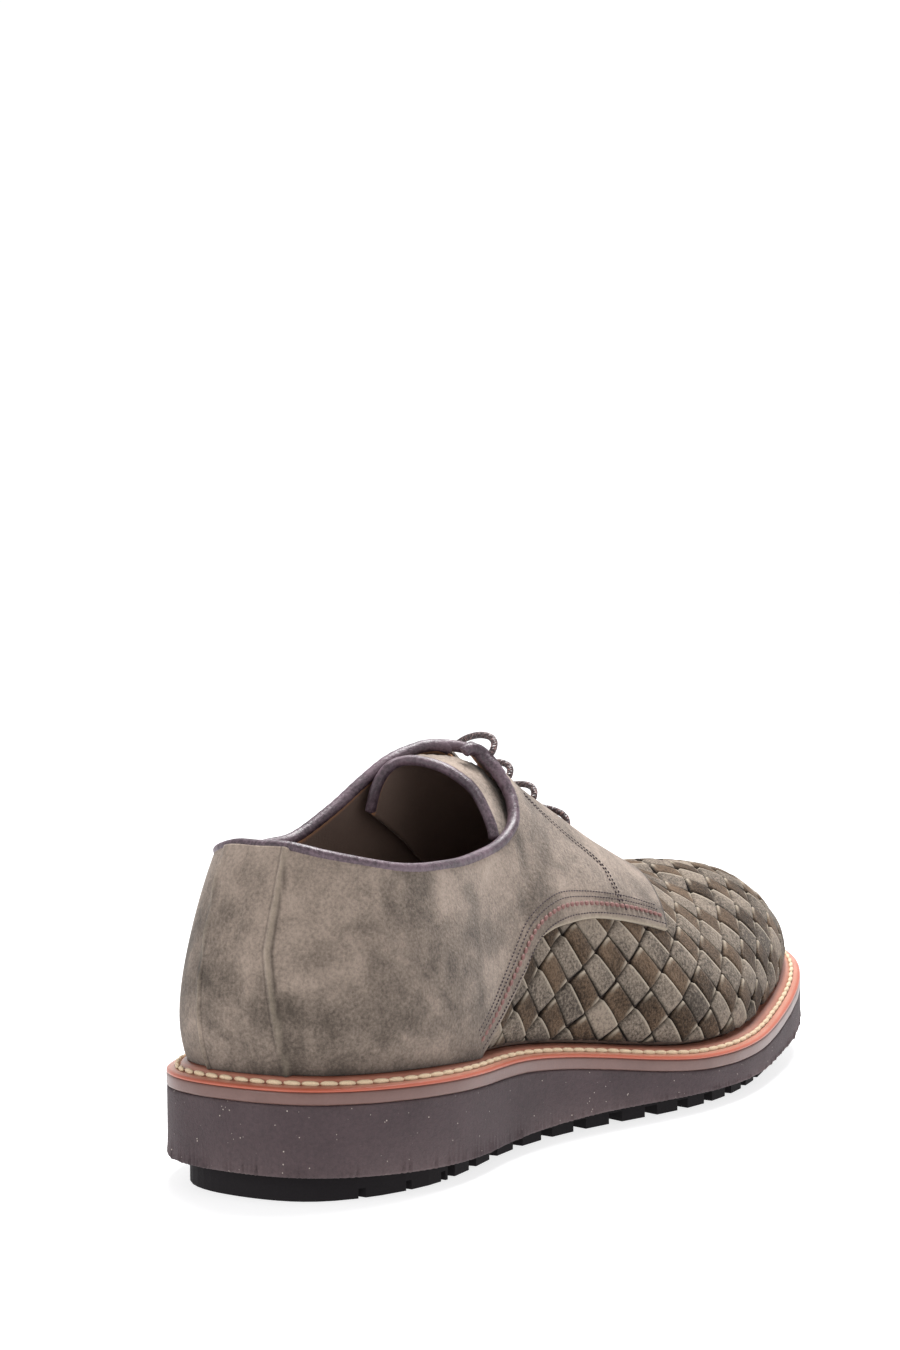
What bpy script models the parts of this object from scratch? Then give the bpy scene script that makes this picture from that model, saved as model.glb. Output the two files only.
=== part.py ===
"""A man's derby shoe for the right foot: suede quarters over a woven suede vamp, on a leather welt and a foam wedge.

Frame: +X to the toe, -Y to the outer (lateral) side, +Z up, metres. The floor is z = 0, and the sole's outline is
centred on the origin. A place on the upper is given as a station and a rise. The stations are the rows of OUTLINE,
counted from 0 at the back of the heel to STATIONS at the tip of the toe, on either side. The rise goes from 0 at the
feather line, where the upper meets the welt, to 1 on the ridge over the instep and the toes.
"""

import math

import bmesh
import bpy
import numpy as np

# Driving sizes
LENGTH = 0.304
BALL_WIDTH = 0.104
WELT_WIDTH = 0.0057
WELT_EDGE = 0.0012
WELT_RISE = 0.0029
WELT_LEDGE = 0.0043
MIDSOLE_EDGE = 0.0021
INSOLE_THICKNESS = 0.0030
FIT = 0.0003
HEEL_STACK = 0.0286
RIDGE_HEIGHT = 0.127
TREAD_DEPTH = 0.0048
TREAD_INSET = 0.0060
TREAD_PLATE = 0.0018
LUG_PITCH = 0.014
LUG_LENGTH = 0.009
LUG_WIDTH = 0.016
LUG_GROOVE = 0.004
PAD_GROOVE = 0.0026
VAMP_WALL = 0.0021
STRIP_RAISE = 0.0007
STRIP_DIAMOND = 0.0135
QUARTER_RAISE = 0.0013
QUARTER_WALL = 0.0026
LAP = 0.008
STRIP_RIB = 0.0008
BINDING_RADIUS = 0.0014
TONGUE_THICKNESS = 0.0016
TONGUE_BINDING_RADIUS = 0.0012
LACE_RADIUS = 0.0010

# The sole's edge at each station. Along is a share of LENGTH, the sides are shares of half of BALL_WIDTH.
# along, lateral side, medial side
OUTLINE = (
    (0.026, 0.494, 0.494),
    (0.148, 0.798, 0.798),
    (0.280, 0.723, 0.705),
    (0.411, 0.775, 0.675),
    (0.543, 0.981, 0.810),
    (0.658, 0.996, 0.975),
    (0.773, 0.848, 0.985),
    (0.872, 0.660, 0.855),
    (0.954, 0.370, 0.560),
)
TOE_SIDE = 0.08
STATIONS = len(OUTLINE) + 1

# Heights along the shoe. The welt's edge is a share of HEEL_STACK, the foam's underside of TREAD_DEPTH and the ridge,
# which over the heel is the top of the ankle that the collar leaves open, of RIDGE_HEIGHT.
# along, welt edge, foam underside, ridge
HEIGHTS = (
    (0.000, 1.066, 1.58, 1.000),
    (0.148, 1.000, 1.17, 1.000),
    (0.197, 0.972, 1.06, 1.000),
    (0.312, 0.906, 1.00, 0.953),
    (0.370, 0.832, 1.04, 0.902),
    (0.428, 0.738, 1.10, 0.811),
    (0.487, 0.636, 1.10, 0.732),
    (0.543, 0.563, 1.08, 0.657),
    (0.600, 0.535, 1.04, 0.590),
    (0.650, 0.535, 1.02, 0.541),
    (0.691, 0.552, 1.04, 0.521),
    (0.740, 0.601, 1.25, 0.519),
    (0.839, 0.755, 1.63, 0.492),
    (0.920, 0.916, 2.29, 0.449),
    (1.000, 1.035, 2.92, 0.394),
)

# The form of the sections: the power of their curve, how far they swell past the feather line on each side as a
# share of half of BALL_WIDTH, and the place of the ridge as a share of it.
# along, power, lateral swell, medial swell, ridge side
FORM = (
    (0.00, 1.7, 0.060, 0.060, 0.000),
    (0.15, 1.8, 0.052, 0.054, 0.000),
    (0.30, 2.1, 0.040, 0.022, 0.019),
    (0.45, 2.0, 0.038, 0.010, 0.048),
    (0.60, 1.9, 0.038, 0.029, 0.058),
    (0.72, 2.1, 0.029, 0.029, 0.058),
    (0.86, 2.2, 0.019, 0.019, 0.044),
    (1.00, 2.2, 0.012, 0.012, 0.040),
)
HEEL_CENTRE = 0.145
TOE_CENTRE = 0.855
TOE_SWING = 0.72
CENTRE_SOFTNESS = 0.02
SWELL_POWER = 4

# Ribs of the quarters, from the back of the heel to the front edge of the facing. Each goes from the foot, on the
# feather line or on the curved edge over the vamp, to the top, on the collar or on the edge of the throat.
# foot station, foot rise, top station, top rise
LATERAL_RIBS = (
    (0.00, 0.000, 0.00, 0.562),
    (0.50, 0.000, 0.44, 0.561),
    (1.00, 0.000, 0.96, 0.545),
    (1.50, 0.000, 1.40, 0.527),
    (2.00, 0.000, 1.90, 0.502),
    (2.35, 0.000, 2.30, 0.492),
    (2.62, 0.000, 2.75, 0.498),
    (2.94, 0.085, 3.22, 0.540),
    (3.24, 0.186, 3.55, 0.618),
    (3.45, 0.280, 3.70, 0.710),
    (3.66, 0.325, 3.75, 0.790),
    (3.88, 0.358, 3.74, 0.870),
    (4.08, 0.386, 3.76, 0.945),
    (4.28, 0.402, 4.10, 0.955),
    (4.54, 0.410, 4.60, 0.952),
    (4.78, 0.412, 5.08, 0.948),
    (4.93, 0.410, 5.48, 0.942),
    (5.06, 0.406, 5.85, 0.930),
)
MEDIAL_RIBS = (
    (0.00, 0.000, 0.00, 0.562),
    (0.50, 0.000, 0.44, 0.560),
    (1.00, 0.000, 0.96, 0.543),
    (1.50, 0.000, 1.40, 0.528),
    (2.00, 0.000, 1.90, 0.518),
    (2.35, 0.000, 2.30, 0.522),
    (2.62, 0.000, 2.62, 0.540),
    (2.94, 0.085, 2.94, 0.622),
    (3.24, 0.186, 3.18, 0.718),
    (3.45, 0.280, 3.36, 0.800),
    (3.66, 0.325, 3.54, 0.865),
    (3.88, 0.358, 3.68, 0.920),
    (4.08, 0.386, 3.82, 0.955),
    (4.28, 0.402, 4.12, 0.958),
    (4.54, 0.410, 4.60, 0.954),
    (4.78, 0.412, 5.08, 0.950),
    (4.93, 0.410, 5.48, 0.944),
    (5.06, 0.406, 5.85, 0.932),
)
COLLAR_RIBS = 13

# The heel strip's two seams, as stations on the lateral and the medial side
STRIP_LATERAL = 0.46
STRIP_MEDIAL = 0.46

# The tongue from its top to its root under the vamp: width to each side as a share of BALL_WIDTH, and the height
# that its middle is flattened to as a share of RIDGE_HEIGHT
# along, half width, height
TONGUE = (
    (0.325, 0.38, 0.855),
    (0.350, 0.39, 0.870),
    (0.385, 0.39, 0.885),
    (0.420, 0.38, 0.900),
    (0.500, 0.34, 0.900),
    (0.580, 0.30, 0.900),
    (0.655, 0.27, 0.900),
)
TONGUE_SOFTNESS = 0.004
TONGUE_TOP = -0.0034

# Eyelet pairs from the top of the throat down, and how far each lies from the ridge as a share of BALL_WIDTH
EYELETS = (0.388, 0.434, 0.480, 0.526)
EYELET_SIDE = 0.125

COLOURS = {
    "suede": ((0.150, 0.118, 0.082), 0.95),
    "binding": ((0.050, 0.028, 0.024), 0.55),
    "lining": ((0.180, 0.100, 0.062), 0.70),
    "welt": ((0.330, 0.120, 0.055), 0.40),
    "midsole": ((0.200, 0.115, 0.095), 0.50),
    "foam": ((0.085, 0.052, 0.047), 0.85),
    "rubber": ((0.012, 0.010, 0.010), 0.80),
    "lace": ((0.045, 0.024, 0.018), 0.60),
}


# Curves through tables
def flow(x, table, column):
    """Smooth curve through a column: cubic pieces whose end slopes are the mean of the neighbouring chords."""
    xs = np.array([row[0] for row in table])
    ys = np.array([row[column] for row in table])
    step = np.diff(xs)
    chord = np.diff(ys) / step
    slope = np.empty_like(ys)
    slope[1:-1] = (chord[:-1] * step[1:] + chord[1:] * step[:-1]) / (step[1:] + step[:-1])
    slope[0] = chord[0]
    slope[-1] = chord[-1]
    x = np.clip(x, xs[0], xs[-1])
    k = np.clip(np.searchsorted(xs, x, side="right") - 1, 0, len(xs) - 2)
    t = (x - xs[k]) / step[k]
    from_low = ys[k] * (1 + 2 * t) * (1 - t) ** 2 + slope[k] * step[k] * t * (1 - t) ** 2
    from_high = ys[k + 1] * t**2 * (3 - 2 * t) + slope[k + 1] * step[k] * t**2 * (t - 1)
    return from_low + from_high


def numbered(rows):
    """The rows with their own number as the first column, for a curve that runs from row to row."""
    return tuple((number, *row) for number, row in enumerate(rows))


def outline_points():
    half = BALL_WIDTH / 2
    lateral = [(along * LENGTH, -outer * half) for along, outer, inner in OUTLINE]
    medial = [(along * LENGTH, inner * half) for along, outer, inner in reversed(OUTLINE)]
    return np.array([(0.0, 0.0), *lateral, (LENGTH, TOE_SIDE * half), *medial])


def closed_spline(points):
    """Knot gaps and second derivatives of the closed cubic spline, with gaps that grow as the root of the chord."""
    count = len(points)
    after = np.roll(points, -1, axis=0)
    before = np.roll(points, 1, axis=0)
    gap = np.sqrt(np.linalg.norm(after - points, axis=1))
    last = np.roll(gap, 1)
    rows = np.arange(count)
    system = np.zeros((count, count))
    system[rows, rows] = 2 * (last + gap)
    system[rows, (rows + 1) % count] += gap
    system[rows, (rows - 1) % count] += last
    pull = 6 * ((after - points) / gap[:, None] - (points - before) / last[:, None])
    return gap, np.linalg.solve(system, pull)


POINTS = outline_points()
GAPS, BENDS = closed_spline(POINTS)


def outline(u):
    """Place and heading of the sole's edge at u, which counts the stations round heel, lateral side, toe, medial."""
    u = np.asarray(u, float) % len(POINTS)
    k = np.floor(u).astype(int)
    after = (k + 1) % len(POINTS)
    gap = GAPS[k][..., None]
    t = (u - k)[..., None] * gap
    r = gap - t
    low = POINTS[k] / gap - BENDS[k] * gap / 6
    high = POINTS[after] / gap - BENDS[after] * gap / 6
    place = (BENDS[k] * r**3 + BENDS[after] * t**3) / (6 * gap) + low * r + high * t
    heading = (BENDS[after] * t**2 - BENDS[k] * r**2) / (2 * gap) - low + high
    heading /= np.linalg.norm(heading, axis=-1, keepdims=True)
    return place, heading


EDGE = outline(np.linspace(0, len(POINTS), 4000))[0]
CENTRE = (EDGE.min(axis=0) + EDGE.max(axis=0)) / 2


def edge(side, station, inset=0.0):
    """The sole's edge, moved inwards by inset, at a station of one side: -1 is lateral and +1 medial."""
    u = np.where(np.asarray(side) < 0, station, len(POINTS) - np.asarray(station, float))
    place, heading = outline(u)
    inward = np.stack([-heading[..., 1], heading[..., 0]], axis=-1)
    return place + inward * inset


def welt_edge(x):
    return HEEL_STACK * flow(x / LENGTH, HEIGHTS, 1)


def foam_underside(x):
    return TREAD_DEPTH * flow(x / LENGTH, HEIGHTS, 2)


def tread_ground(x):
    """The lugs' underside: the floor, and the toe spring past the ball, where the foam curves up."""
    return np.maximum(foam_underside(x) - 1.25 * TREAD_DEPTH, 0) * (x > 0.6 * LENGTH)


def ridge_height(x):
    return RIDGE_HEIGHT * flow(x / LENGTH, HEIGHTS, 3)


def station_of(side, x):
    """The station where one side of the sole's edge is at x."""
    stations = np.linspace(0, STATIONS, 800)
    return np.interp(x, edge(side, stations)[:, 0], stations)


# The last, which the upper is drawn over
def soft_clip(x, low, high, soft):
    """x held between low and high, with round corners."""

    def ramp(v):
        return (v + np.sqrt(v * v + soft * soft)) / 2

    return low + ramp(x - low) - ramp(x - high)


TIP_SIDE = edge(-1, STATIONS, WELT_WIDTH)[1]


def ridge_side(along):
    """How far the ridge lies to the medial side: by FORM, and straight behind the tip of the toe at TOE_CENTRE."""
    side = flow(along, FORM, 4) * BALL_WIDTH / 2
    swing = np.clip((along - TOE_SWING) / (TOE_CENTRE - TOE_SWING), 0, 1)
    return side + (TIP_SIDE - side) * swing**2


def foot_of_section(side, station):
    """Each section stands on the line from the feather line to an axis: parallel lines, and fans at heel and toe."""
    feather = edge(side, station, WELT_WIDTH)
    along = soft_clip(feather[..., 0] / LENGTH, HEEL_CENTRE, TOE_CENTRE, CENTRE_SOFTNESS)
    axis = np.stack([along * LENGTH, ridge_side(along)], axis=-1)
    base = welt_edge(edge(side, station)[..., 0]) + WELT_RISE + FIT
    return feather, axis, base, along


SECTION_POINTS = 49


def sections(side, station):
    """Points up each section and their arc length.

    A section is a quarter of a superellipse from the feather line to the ridge: in plan it goes inwards as
    1 - cos(t) ** (2 / power), less a swell, and its height goes as sin(t) ** (2 / power) up to the ridge's height.
    """
    side, station = np.broadcast_arrays(np.asarray(side, float), np.asarray(station, float))
    feather, axis, base, along = foot_of_section(side, station)
    turn = np.linspace(0, math.pi / 2, SECTION_POINTS)
    power = flow(along, FORM, 1)[..., None]
    swell = np.where(side < 0, flow(along, FORM, 2), flow(along, FORM, 3))[..., None] * BALL_WIDTH / 2
    reach = np.linalg.norm(axis - feather, axis=-1)[..., None]
    inward = 1 - np.clip(np.cos(turn), 0, 1) ** (2 / power)
    inward = inward - swell / reach * np.sin(math.pi * (1 - (1 - turn * 2 / math.pi) ** SWELL_POWER))
    plan = feather[..., None, :] + (axis - feather)[..., None, :] * inward[..., None]
    climb = np.clip(np.sin(turn), 0, 1) ** (2 / power)
    height = base[..., None] + (ridge_height(plan[..., 0]) - base[..., None]) * climb
    points = np.concatenate([plan, height[..., None]], axis=-1)
    steps = np.linalg.norm(np.diff(points, axis=-2), axis=-1)
    arc = np.concatenate([np.zeros(steps.shape[:-1] + (1,)), np.cumsum(steps, axis=-1)], axis=-1)
    return points, arc


def half_girth(side, station):
    return sections(side, station)[1][..., -1]


def on_last(side, station, rise):
    """The point of the last at a station and a rise, by arc length up the section."""
    side, station, rise = np.broadcast_arrays(side, station, rise)
    points, arc = sections(side, station)
    wanted = np.clip(rise, 0, 1) * arc[..., -1]
    k = np.clip((arc < wanted[..., None]).sum(axis=-1) - 1, 0, SECTION_POINTS - 2)[..., None]
    low = np.take_along_axis(arc, k, axis=-1)
    high = np.take_along_axis(arc, k + 1, axis=-1)
    t = (wanted[..., None] - low) / (high - low)
    a = np.take_along_axis(points, k[..., None], axis=-2)[..., 0, :]
    b = np.take_along_axis(points, k[..., None] + 1, axis=-2)[..., 0, :]
    return a + (b - a) * t


def normal_of(ahead, behind, above, below, side):
    normal = np.cross(ahead - behind, above - below) * -np.asarray(side, float)[..., None]
    return normal / np.linalg.norm(normal, axis=-1, keepdims=True)


def quarter_skin(side, station, rise, lift):
    """A point of the last moved outwards by lift, where both sides share the heel's back."""
    side, station, rise, lift = np.broadcast_arrays(np.asarray(side, float), station, rise, lift)
    step = 0.02
    near = np.minimum(rise, 1 - step)
    point = on_last(side, station, rise)
    across = on_last(side, station + step, near) - on_last(side, station - step, near)
    up = on_last(side, station, near + step) - on_last(side, station, np.maximum(near - step, 0))
    normal = np.cross(across, up) * -side[..., None]
    normal /= np.linalg.norm(normal, axis=-1, keepdims=True)
    return point + normal * lift[..., None]


# The flat sheet that the vamp and the tongue are cut from
def to_sheet(side, station, rise):
    """Where a place of the last lies on the flat sheet: along the ridge, and out from it by arc length."""
    feather, axis, base, along = foot_of_section(side, station)
    away = feather - axis
    away /= np.linalg.norm(away, axis=-1, keepdims=True)
    out = (1 - rise) * half_girth(side, station)
    return axis[..., 0] + away[..., 0] * out, away[..., 1] * out


def from_sheet(x, y):
    """Side, station and rise of a place on the sheet: the station is found by halving, 40 times."""
    side = np.where(y < 0, -1.0, 1.0)
    low = np.full(np.shape(x), 1.5)
    high = np.full(np.shape(x), float(STATIONS))
    for _ in range(40):
        middle = (low + high) / 2
        feather, axis, base, along = foot_of_section(side, middle)
        away = feather - axis
        reached = axis[..., 0] + y * away[..., 0] / away[..., 1]
        low = np.where(reached < x, middle, low)
        high = np.where(reached < x, high, middle)
    station = (low + high) / 2
    feather, axis, base, along = foot_of_section(side, station)
    away = feather - axis
    away /= np.linalg.norm(away, axis=-1, keepdims=True)
    out = (x - axis[..., 0]) * away[..., 0] + y * away[..., 1]
    return side, station, 1 - out / half_girth(side, station)


def sheet_point(x, y):
    return on_last(*from_sheet(x, y))


def sheet_skin(x, y, lift):
    """A point of the last at a place on the sheet, moved outwards by lift."""
    step = 0.0006
    point = sheet_point(x, y)
    along = sheet_point(x + step, y) - sheet_point(x - step, y)
    across = sheet_point(x, y + step) - sheet_point(x, y - step)
    normal = np.cross(along, across)
    normal /= np.linalg.norm(normal, axis=-1, keepdims=True)
    return point + normal * np.broadcast_to(lift, np.shape(x))[..., None]


# Meshes
def clear_scene():
    for old in list(bpy.data.objects):
        bpy.data.objects.remove(old, do_unlink=True)


def collection(name):
    made = bpy.data.collections.new(name)
    bpy.context.scene.collection.children.link(made)
    return made


def material(name):
    if name in bpy.data.materials:
        return bpy.data.materials[name]
    colour, roughness = COLOURS[name]
    made = bpy.data.materials.new(name)
    made.use_nodes = True
    shader = made.node_tree.nodes["Principled BSDF"]
    shader.inputs["Base Color"].default_value = (*colour, 1)
    shader.inputs["Roughness"].default_value = roughness
    shader.inputs["Metallic"].default_value = 0
    return made


def mesh_object(name, points, faces, finish, group, spare=()):
    """A mesh from points in the shoe's own frame, moved so that the outline is centred. Spare points are dissolved."""
    points = np.asarray(points, float).reshape(-1, 3) - (*CENTRE, 0)
    mesh = bpy.data.meshes.new(name)
    mesh.from_pydata(points.tolist(), [], [list(map(int, face)) for face in faces])
    mesh.update()
    shape = bmesh.new()
    shape.from_mesh(mesh)
    shape.verts.ensure_lookup_table()
    for group_of_spare in [[shape.verts[number] for number in numbers] for numbers in spare]:
        loose = [vertex for vertex in group_of_spare if len(vertex.link_edges) == 2]
        bmesh.ops.dissolve_verts(shape, verts=loose or group_of_spare)
    bmesh.ops.triangulate(shape, faces=[face for face in shape.faces if len(face.verts) > 4])
    bmesh.ops.remove_doubles(shape, verts=shape.verts, dist=1e-6)
    bmesh.ops.dissolve_degenerate(shape, edges=shape.edges, dist=1e-6)
    bmesh.ops.recalc_face_normals(shape, faces=shape.faces)
    shape.to_mesh(mesh)
    shape.free()
    mesh.shade_smooth()
    mesh.set_sharp_from_angle(angle=math.radians(40))
    made = bpy.data.objects.new(name, mesh)
    made.data.materials.append(material(finish))
    group.objects.link(made)
    return made


def grid_faces(rows, columns, closed=False):
    """Quads between the points of a grid that are numbered row by row. A closed grid joins its last column to the first."""
    width = columns if closed else columns - 1
    for row in range(rows - 1):
        for column in range(width):
            after = (column + 1) % columns
            a, b = row * columns + column, row * columns + after
            yield a, b, b + columns, a + columns


def shell(outer, inner, faces):
    """A closed wall between two sheets of points with the same faces."""
    count = len(outer)
    faces = [tuple(face) for face in faces]
    seen = {}
    for face in faces:
        for a, b in zip(face, face[1:] + face[:1]):
            seen[(a, b)] = seen.get((a, b), 0) + 1
    rim = [(a, b) for a, b in seen if (b, a) not in seen]
    inside = [tuple(v + count for v in reversed(face)) for face in faces]
    walls = [(b, a, a + count, b + count) for a, b in rim]
    return np.concatenate([outer, inner]), faces + inside + walls


def boolean(target, other, operation):
    change = target.modifiers.new(operation.lower() + "_" + other.name, "BOOLEAN")
    change.operation = operation
    change.object = other
    change.solver = "EXACT"
    other.hide_render = True
    other.display_type = "WIRE"


RING_STEPS = 4
RING = np.arange(len(POINTS) * RING_STEPS) / RING_STEPS


def ring(inset, height):
    """A loop of points round the sole at one inset, with height a function of x on the sole's edge."""
    place, heading = outline(RING)
    inward = np.stack([-heading[:, 1], heading[:, 0]], axis=-1)
    return np.column_stack([place + inward * inset, height(place[:, 0])])


def ladder(first, count):
    """The faces of a flat end: rungs from each point of the lateral side to its partner on the medial side."""
    half = count // 2
    yield first, first + 1, first + count - 1
    for k in range(1, half - 1):
        yield first + k, first + k + 1, first + count - k - 1, first + count - k
    yield first + half - 1, first + half, first + half + 1


def layer(name, rings, finish, group):
    """A solid layer of the sole: loops from the bottom up, closed by a ladder of faces at both ends."""
    count = len(RING)
    points = np.concatenate(rings)
    faces = [*grid_faces(len(rings), count, closed=True), *ladder(0, count), *ladder((len(rings) - 1) * count, count)]
    return mesh_object(name, points, faces, finish, group)


def slab(left, right, top, bottom):
    """Points and faces of a slab between two rows of plan points, from bottom up to top."""
    rows = len(left)
    plan = np.stack([left, right], axis=1).reshape(-1, 2)
    points = np.concatenate([
        np.column_stack([plan, bottom(plan[:, 0])]),
        np.column_stack([plan, top(plan[:, 0])]),
    ])
    return shell(points[2 * rows:], points[:2 * rows], list(grid_faces(rows, 2)))


# Sole
def foam_top(x):
    return welt_edge(x) - WELT_EDGE - MIDSOLE_EDGE - 2 * FIT


def make_wedge(group):
    bottom = ring(0.5 * FIT, foam_underside)
    top = ring(1.5 * FIT, foam_top)
    return layer("foam_wedge", [bottom, top], "foam", group)


def make_midsole(group):
    """A leather plate under the welt, whose middle rises inside the welt's ring to carry the insole."""
    inner = WELT_WIDTH + WELT_LEDGE + FIT

    def flange(x):
        return welt_edge(x) - WELT_EDGE - FIT

    def plate(x):
        return flange(x) - MIDSOLE_EDGE

    def platform(x):
        return welt_edge(x) + WELT_RISE

    rings = [ring(FIT, plate), ring(FIT, flange), ring(inner, flange), ring(inner, platform)]
    return layer("midsole", rings, "midsole", group)


def make_welt(group):
    """A leather ring round the upper. Its top slopes up from the edge to the feather line, and goes on under the upper."""
    foot = 0.95 * WELT_WIDTH
    ledge = WELT_WIDTH + WELT_LEDGE

    def bottom(x):
        return welt_edge(x) - WELT_EDGE

    def crest(x):
        return welt_edge(x) + 0.6 * WELT_RISE

    def seat(x):
        return welt_edge(x) + WELT_RISE

    profile = [(0, bottom), (0, welt_edge), (foot / 2, crest), (foot, seat), (ledge, seat), (ledge, bottom)]
    loops = [ring(inset, height) for inset, height in profile]
    points = np.concatenate([*loops, loops[0]])
    faces = grid_faces(len(loops) + 1, len(RING), closed=True)
    return mesh_object("welt", points, faces, "welt", group)


def make_insole(group):
    inset = WELT_WIDTH + QUARTER_WALL + 3 * FIT
    platform = WELT_WIDTH + WELT_LEDGE + FIT

    def bottom(x):
        return welt_edge(x) + WELT_RISE + FIT

    def top(x):
        return bottom(x) + INSOLE_THICKNESS

    return layer("insole", [ring(platform, bottom), ring(inset, bottom), ring(inset, top)], "lining", group)


def tread_plan(start, end, inset, count):
    """Rows of plan points along both sides of the sole between two places along it."""
    rows = []
    for side in (-1, 1):
        stations = np.linspace(station_of(side, start * LENGTH), station_of(side, end * LENGTH), count)
        rows.append(edge(side, stations, inset))
    return rows


PAD_FRONT = 0.168
PLATE_BACK = 0.182
PLATE_FRONT = 0.962


def tread_top(x):
    return foam_underside(x) - FIT


def make_heel_tread(group, cutters):
    """A D-shaped rubber pad with a straight front, and grooves across its underside."""
    stations = np.linspace(0, 1, 15) ** 1.5
    left = edge(-1, stations * station_of(-1, PAD_FRONT * LENGTH), TREAD_INSET)
    right = edge(1, stations * station_of(1, PAD_FRONT * LENGTH), TREAD_INSET)
    points, faces = slab(left, right, tread_top, lambda x: 0 * x)
    pad = mesh_object("heel_tread", points, faces, "rubber", group)
    grooves = round(PAD_FRONT * LENGTH / LUG_PITCH) - 1
    for number in range(grooves):
        x = TREAD_INSET + (number + 1) * LUG_PITCH
        row = np.array([(x, 0), (x + LUG_GROOVE / 2, 0)])
        reach = np.array([(0, BALL_WIDTH / 2), (0, BALL_WIDTH / 2)])
        points, faces = slab(row - reach, row + reach, lambda x: 0 * x + PAD_GROOVE, lambda x: 0 * x - PAD_GROOVE)
        groove = mesh_object(f"pad_groove_{number}", points, faces, "rubber", cutters)
        boolean(pad, groove, "DIFFERENCE")
    return pad


def make_forefoot_tread(group, cutters):
    """A thin rubber plate from the arch to the toe, with square lugs down both edges and bars down the middle."""
    left, right = tread_plan(PLATE_BACK, PLATE_FRONT, TREAD_INSET, 24)
    points, faces = slab(left, right, tread_top, lambda x: tread_top(x) - TREAD_PLATE)
    plate = mesh_object("forefoot_tread", points, faces, "rubber", group)
    points, faces = [], []
    start = PLATE_BACK * LENGTH + FIT
    for number in range(int((PLATE_FRONT * LENGTH - start) / LUG_PITCH)):
        back = start + number * LUG_PITCH
        span = np.array([back, back + LUG_LENGTH])
        inner = []
        for side in (-1, 1):
            stations = station_of(side, span)
            outer_row = edge(side, stations, TREAD_INSET + FIT)
            inner_row = edge(side, stations, TREAD_INSET + LUG_WIDTH)
            rows = (outer_row, inner_row) if side < 0 else (inner_row, outer_row)
            add_slab(points, faces, rows[0], rows[1])
            inner.append(inner_row[:, 1])
        half = (inner[1] - inner[0]).min() / 2 - LUG_GROOVE
        if half > LUG_GROOVE:
            middle = (inner[1] + inner[0]).mean() / 2
            bar = span[0] + np.array([0.0, LUG_LENGTH * 0.8])
            add_slab(points, faces, np.column_stack([bar, [middle - half] * 2]), np.column_stack([bar, [middle + half] * 2]))
    lugs = mesh_object("lugs", np.concatenate(points), faces, "rubber", cutters)
    boolean(plate, lugs, "UNION")
    return plate


def add_slab(points, faces, left, right):
    """One lug: a slab from inside the plate down to the ground."""
    block, sides = slab(left, right, lambda x: tread_top(x) - TREAD_PLATE / 2, tread_ground)
    first = sum(len(done) for done in points)
    points.append(block)
    faces.extend(tuple(v + first for v in face) for face in sides)


# Upper
def over_vamp(order, share):
    """How far the quarters are lifted by the vamp under them: at their curved edge and their front edge."""
    low = np.clip(1.3 - 2.5 * share, 0, 1)
    front = np.clip((order - 13) / 3, 0, 1)
    lifted = np.clip((order - 4) / 2, 0, 1) * np.maximum(low, front)
    return QUARTER_RAISE * lifted * lifted * (3 - 2 * lifted)


def quarter_grid(lift):
    """Grid of the quarters, rib by rib from the lateral front edge round the heel to the medial front edge."""
    steps = np.linspace(0, len(LATERAL_RIBS) - 1, 24)
    share = np.linspace(0, 1, 11)
    ribs = []
    for side, table, order in ((-1, LATERAL_RIBS, steps[::-1]), (1, MEDIAL_RIBS, steps[1:])):
        rows = numbered(table)
        foot_station, foot_rise, top_station, top_rise = (flow(order, rows, column)[:, None] for column in range(1, 5))
        station = foot_station + (top_station - foot_station) * share
        rise = np.maximum(foot_rise, 0) + (top_rise - np.maximum(foot_rise, 0)) * share
        raised = lift + over_vamp(order[:, None], share)
        if lift == 0:
            raised = raised + heel_rib(side, station)
        ribs.append(quarter_skin(side, station, rise, raised))
    return np.concatenate(ribs)


def heel_rib(side, station):
    """The heel strip stands a little proud between its two seams."""
    seam = np.where(np.asarray(side) < 0, STRIP_LATERAL, STRIP_MEDIAL)
    return STRIP_RIB * np.clip((seam - station) / 0.06 + 0.5, 0, 1)


def make_quarters(group):
    outer = quarter_grid(0)
    inner = quarter_grid(-QUARTER_WALL)
    rows, columns = outer.shape[:2]
    points, faces = shell(outer.reshape(-1, 3), inner.reshape(-1, 3), grid_faces(rows, columns))
    return mesh_object("upper", points, faces, "suede", group)


def vamp_edge():
    """The quarters' edge over the vamp on the sheet, from the lateral welt over the ridge to the medial welt."""
    lines = []
    for side, table in ((-1, LATERAL_RIBS), (1, MEDIAL_RIBS)):
        feet = np.array([(row[0], row[1]) for row in table if row[0] >= 2.6])
        front = np.array([table[-1][2:]])
        both = np.concatenate([feet, front])
        x, y = to_sheet(np.full(len(both), side), both[:, 0], both[:, 1])
        lines.append(np.column_stack([x, y]))
    return np.concatenate([lines[0], lines[1][::-1]])


def behind_edge(x, y, line):
    """How far places on the sheet lie behind the line: negative in front of it."""
    closed = np.concatenate([line, [(-LENGTH, line[-1][1] * 3), (-LENGTH, line[0][1] * 3)]])
    after = np.roll(closed, -1, axis=0)
    inside = np.zeros(np.shape(x), bool)
    for (ax, ay), (bx, by) in zip(closed, after):
        crosses = (ay > y) != (by > y)
        slope = (bx - ax) / (by - ay) if by != ay else 0.0
        inside ^= crosses & (x < ax + (y - ay) * slope)
    near = np.full(np.shape(x), np.inf)
    for (ax, ay), (bx, by) in zip(line[:-1], line[1:]):
        run = np.array([bx - ax, by - ay])
        t = np.clip(((x - ax) * run[0] + (y - ay) * run[1]) / (run @ run), 0, 1)
        near = np.minimum(near, np.hypot(x - ax - run[0] * t, y - ay - run[1] * t))
    return np.where(inside, near, -near)


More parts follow.
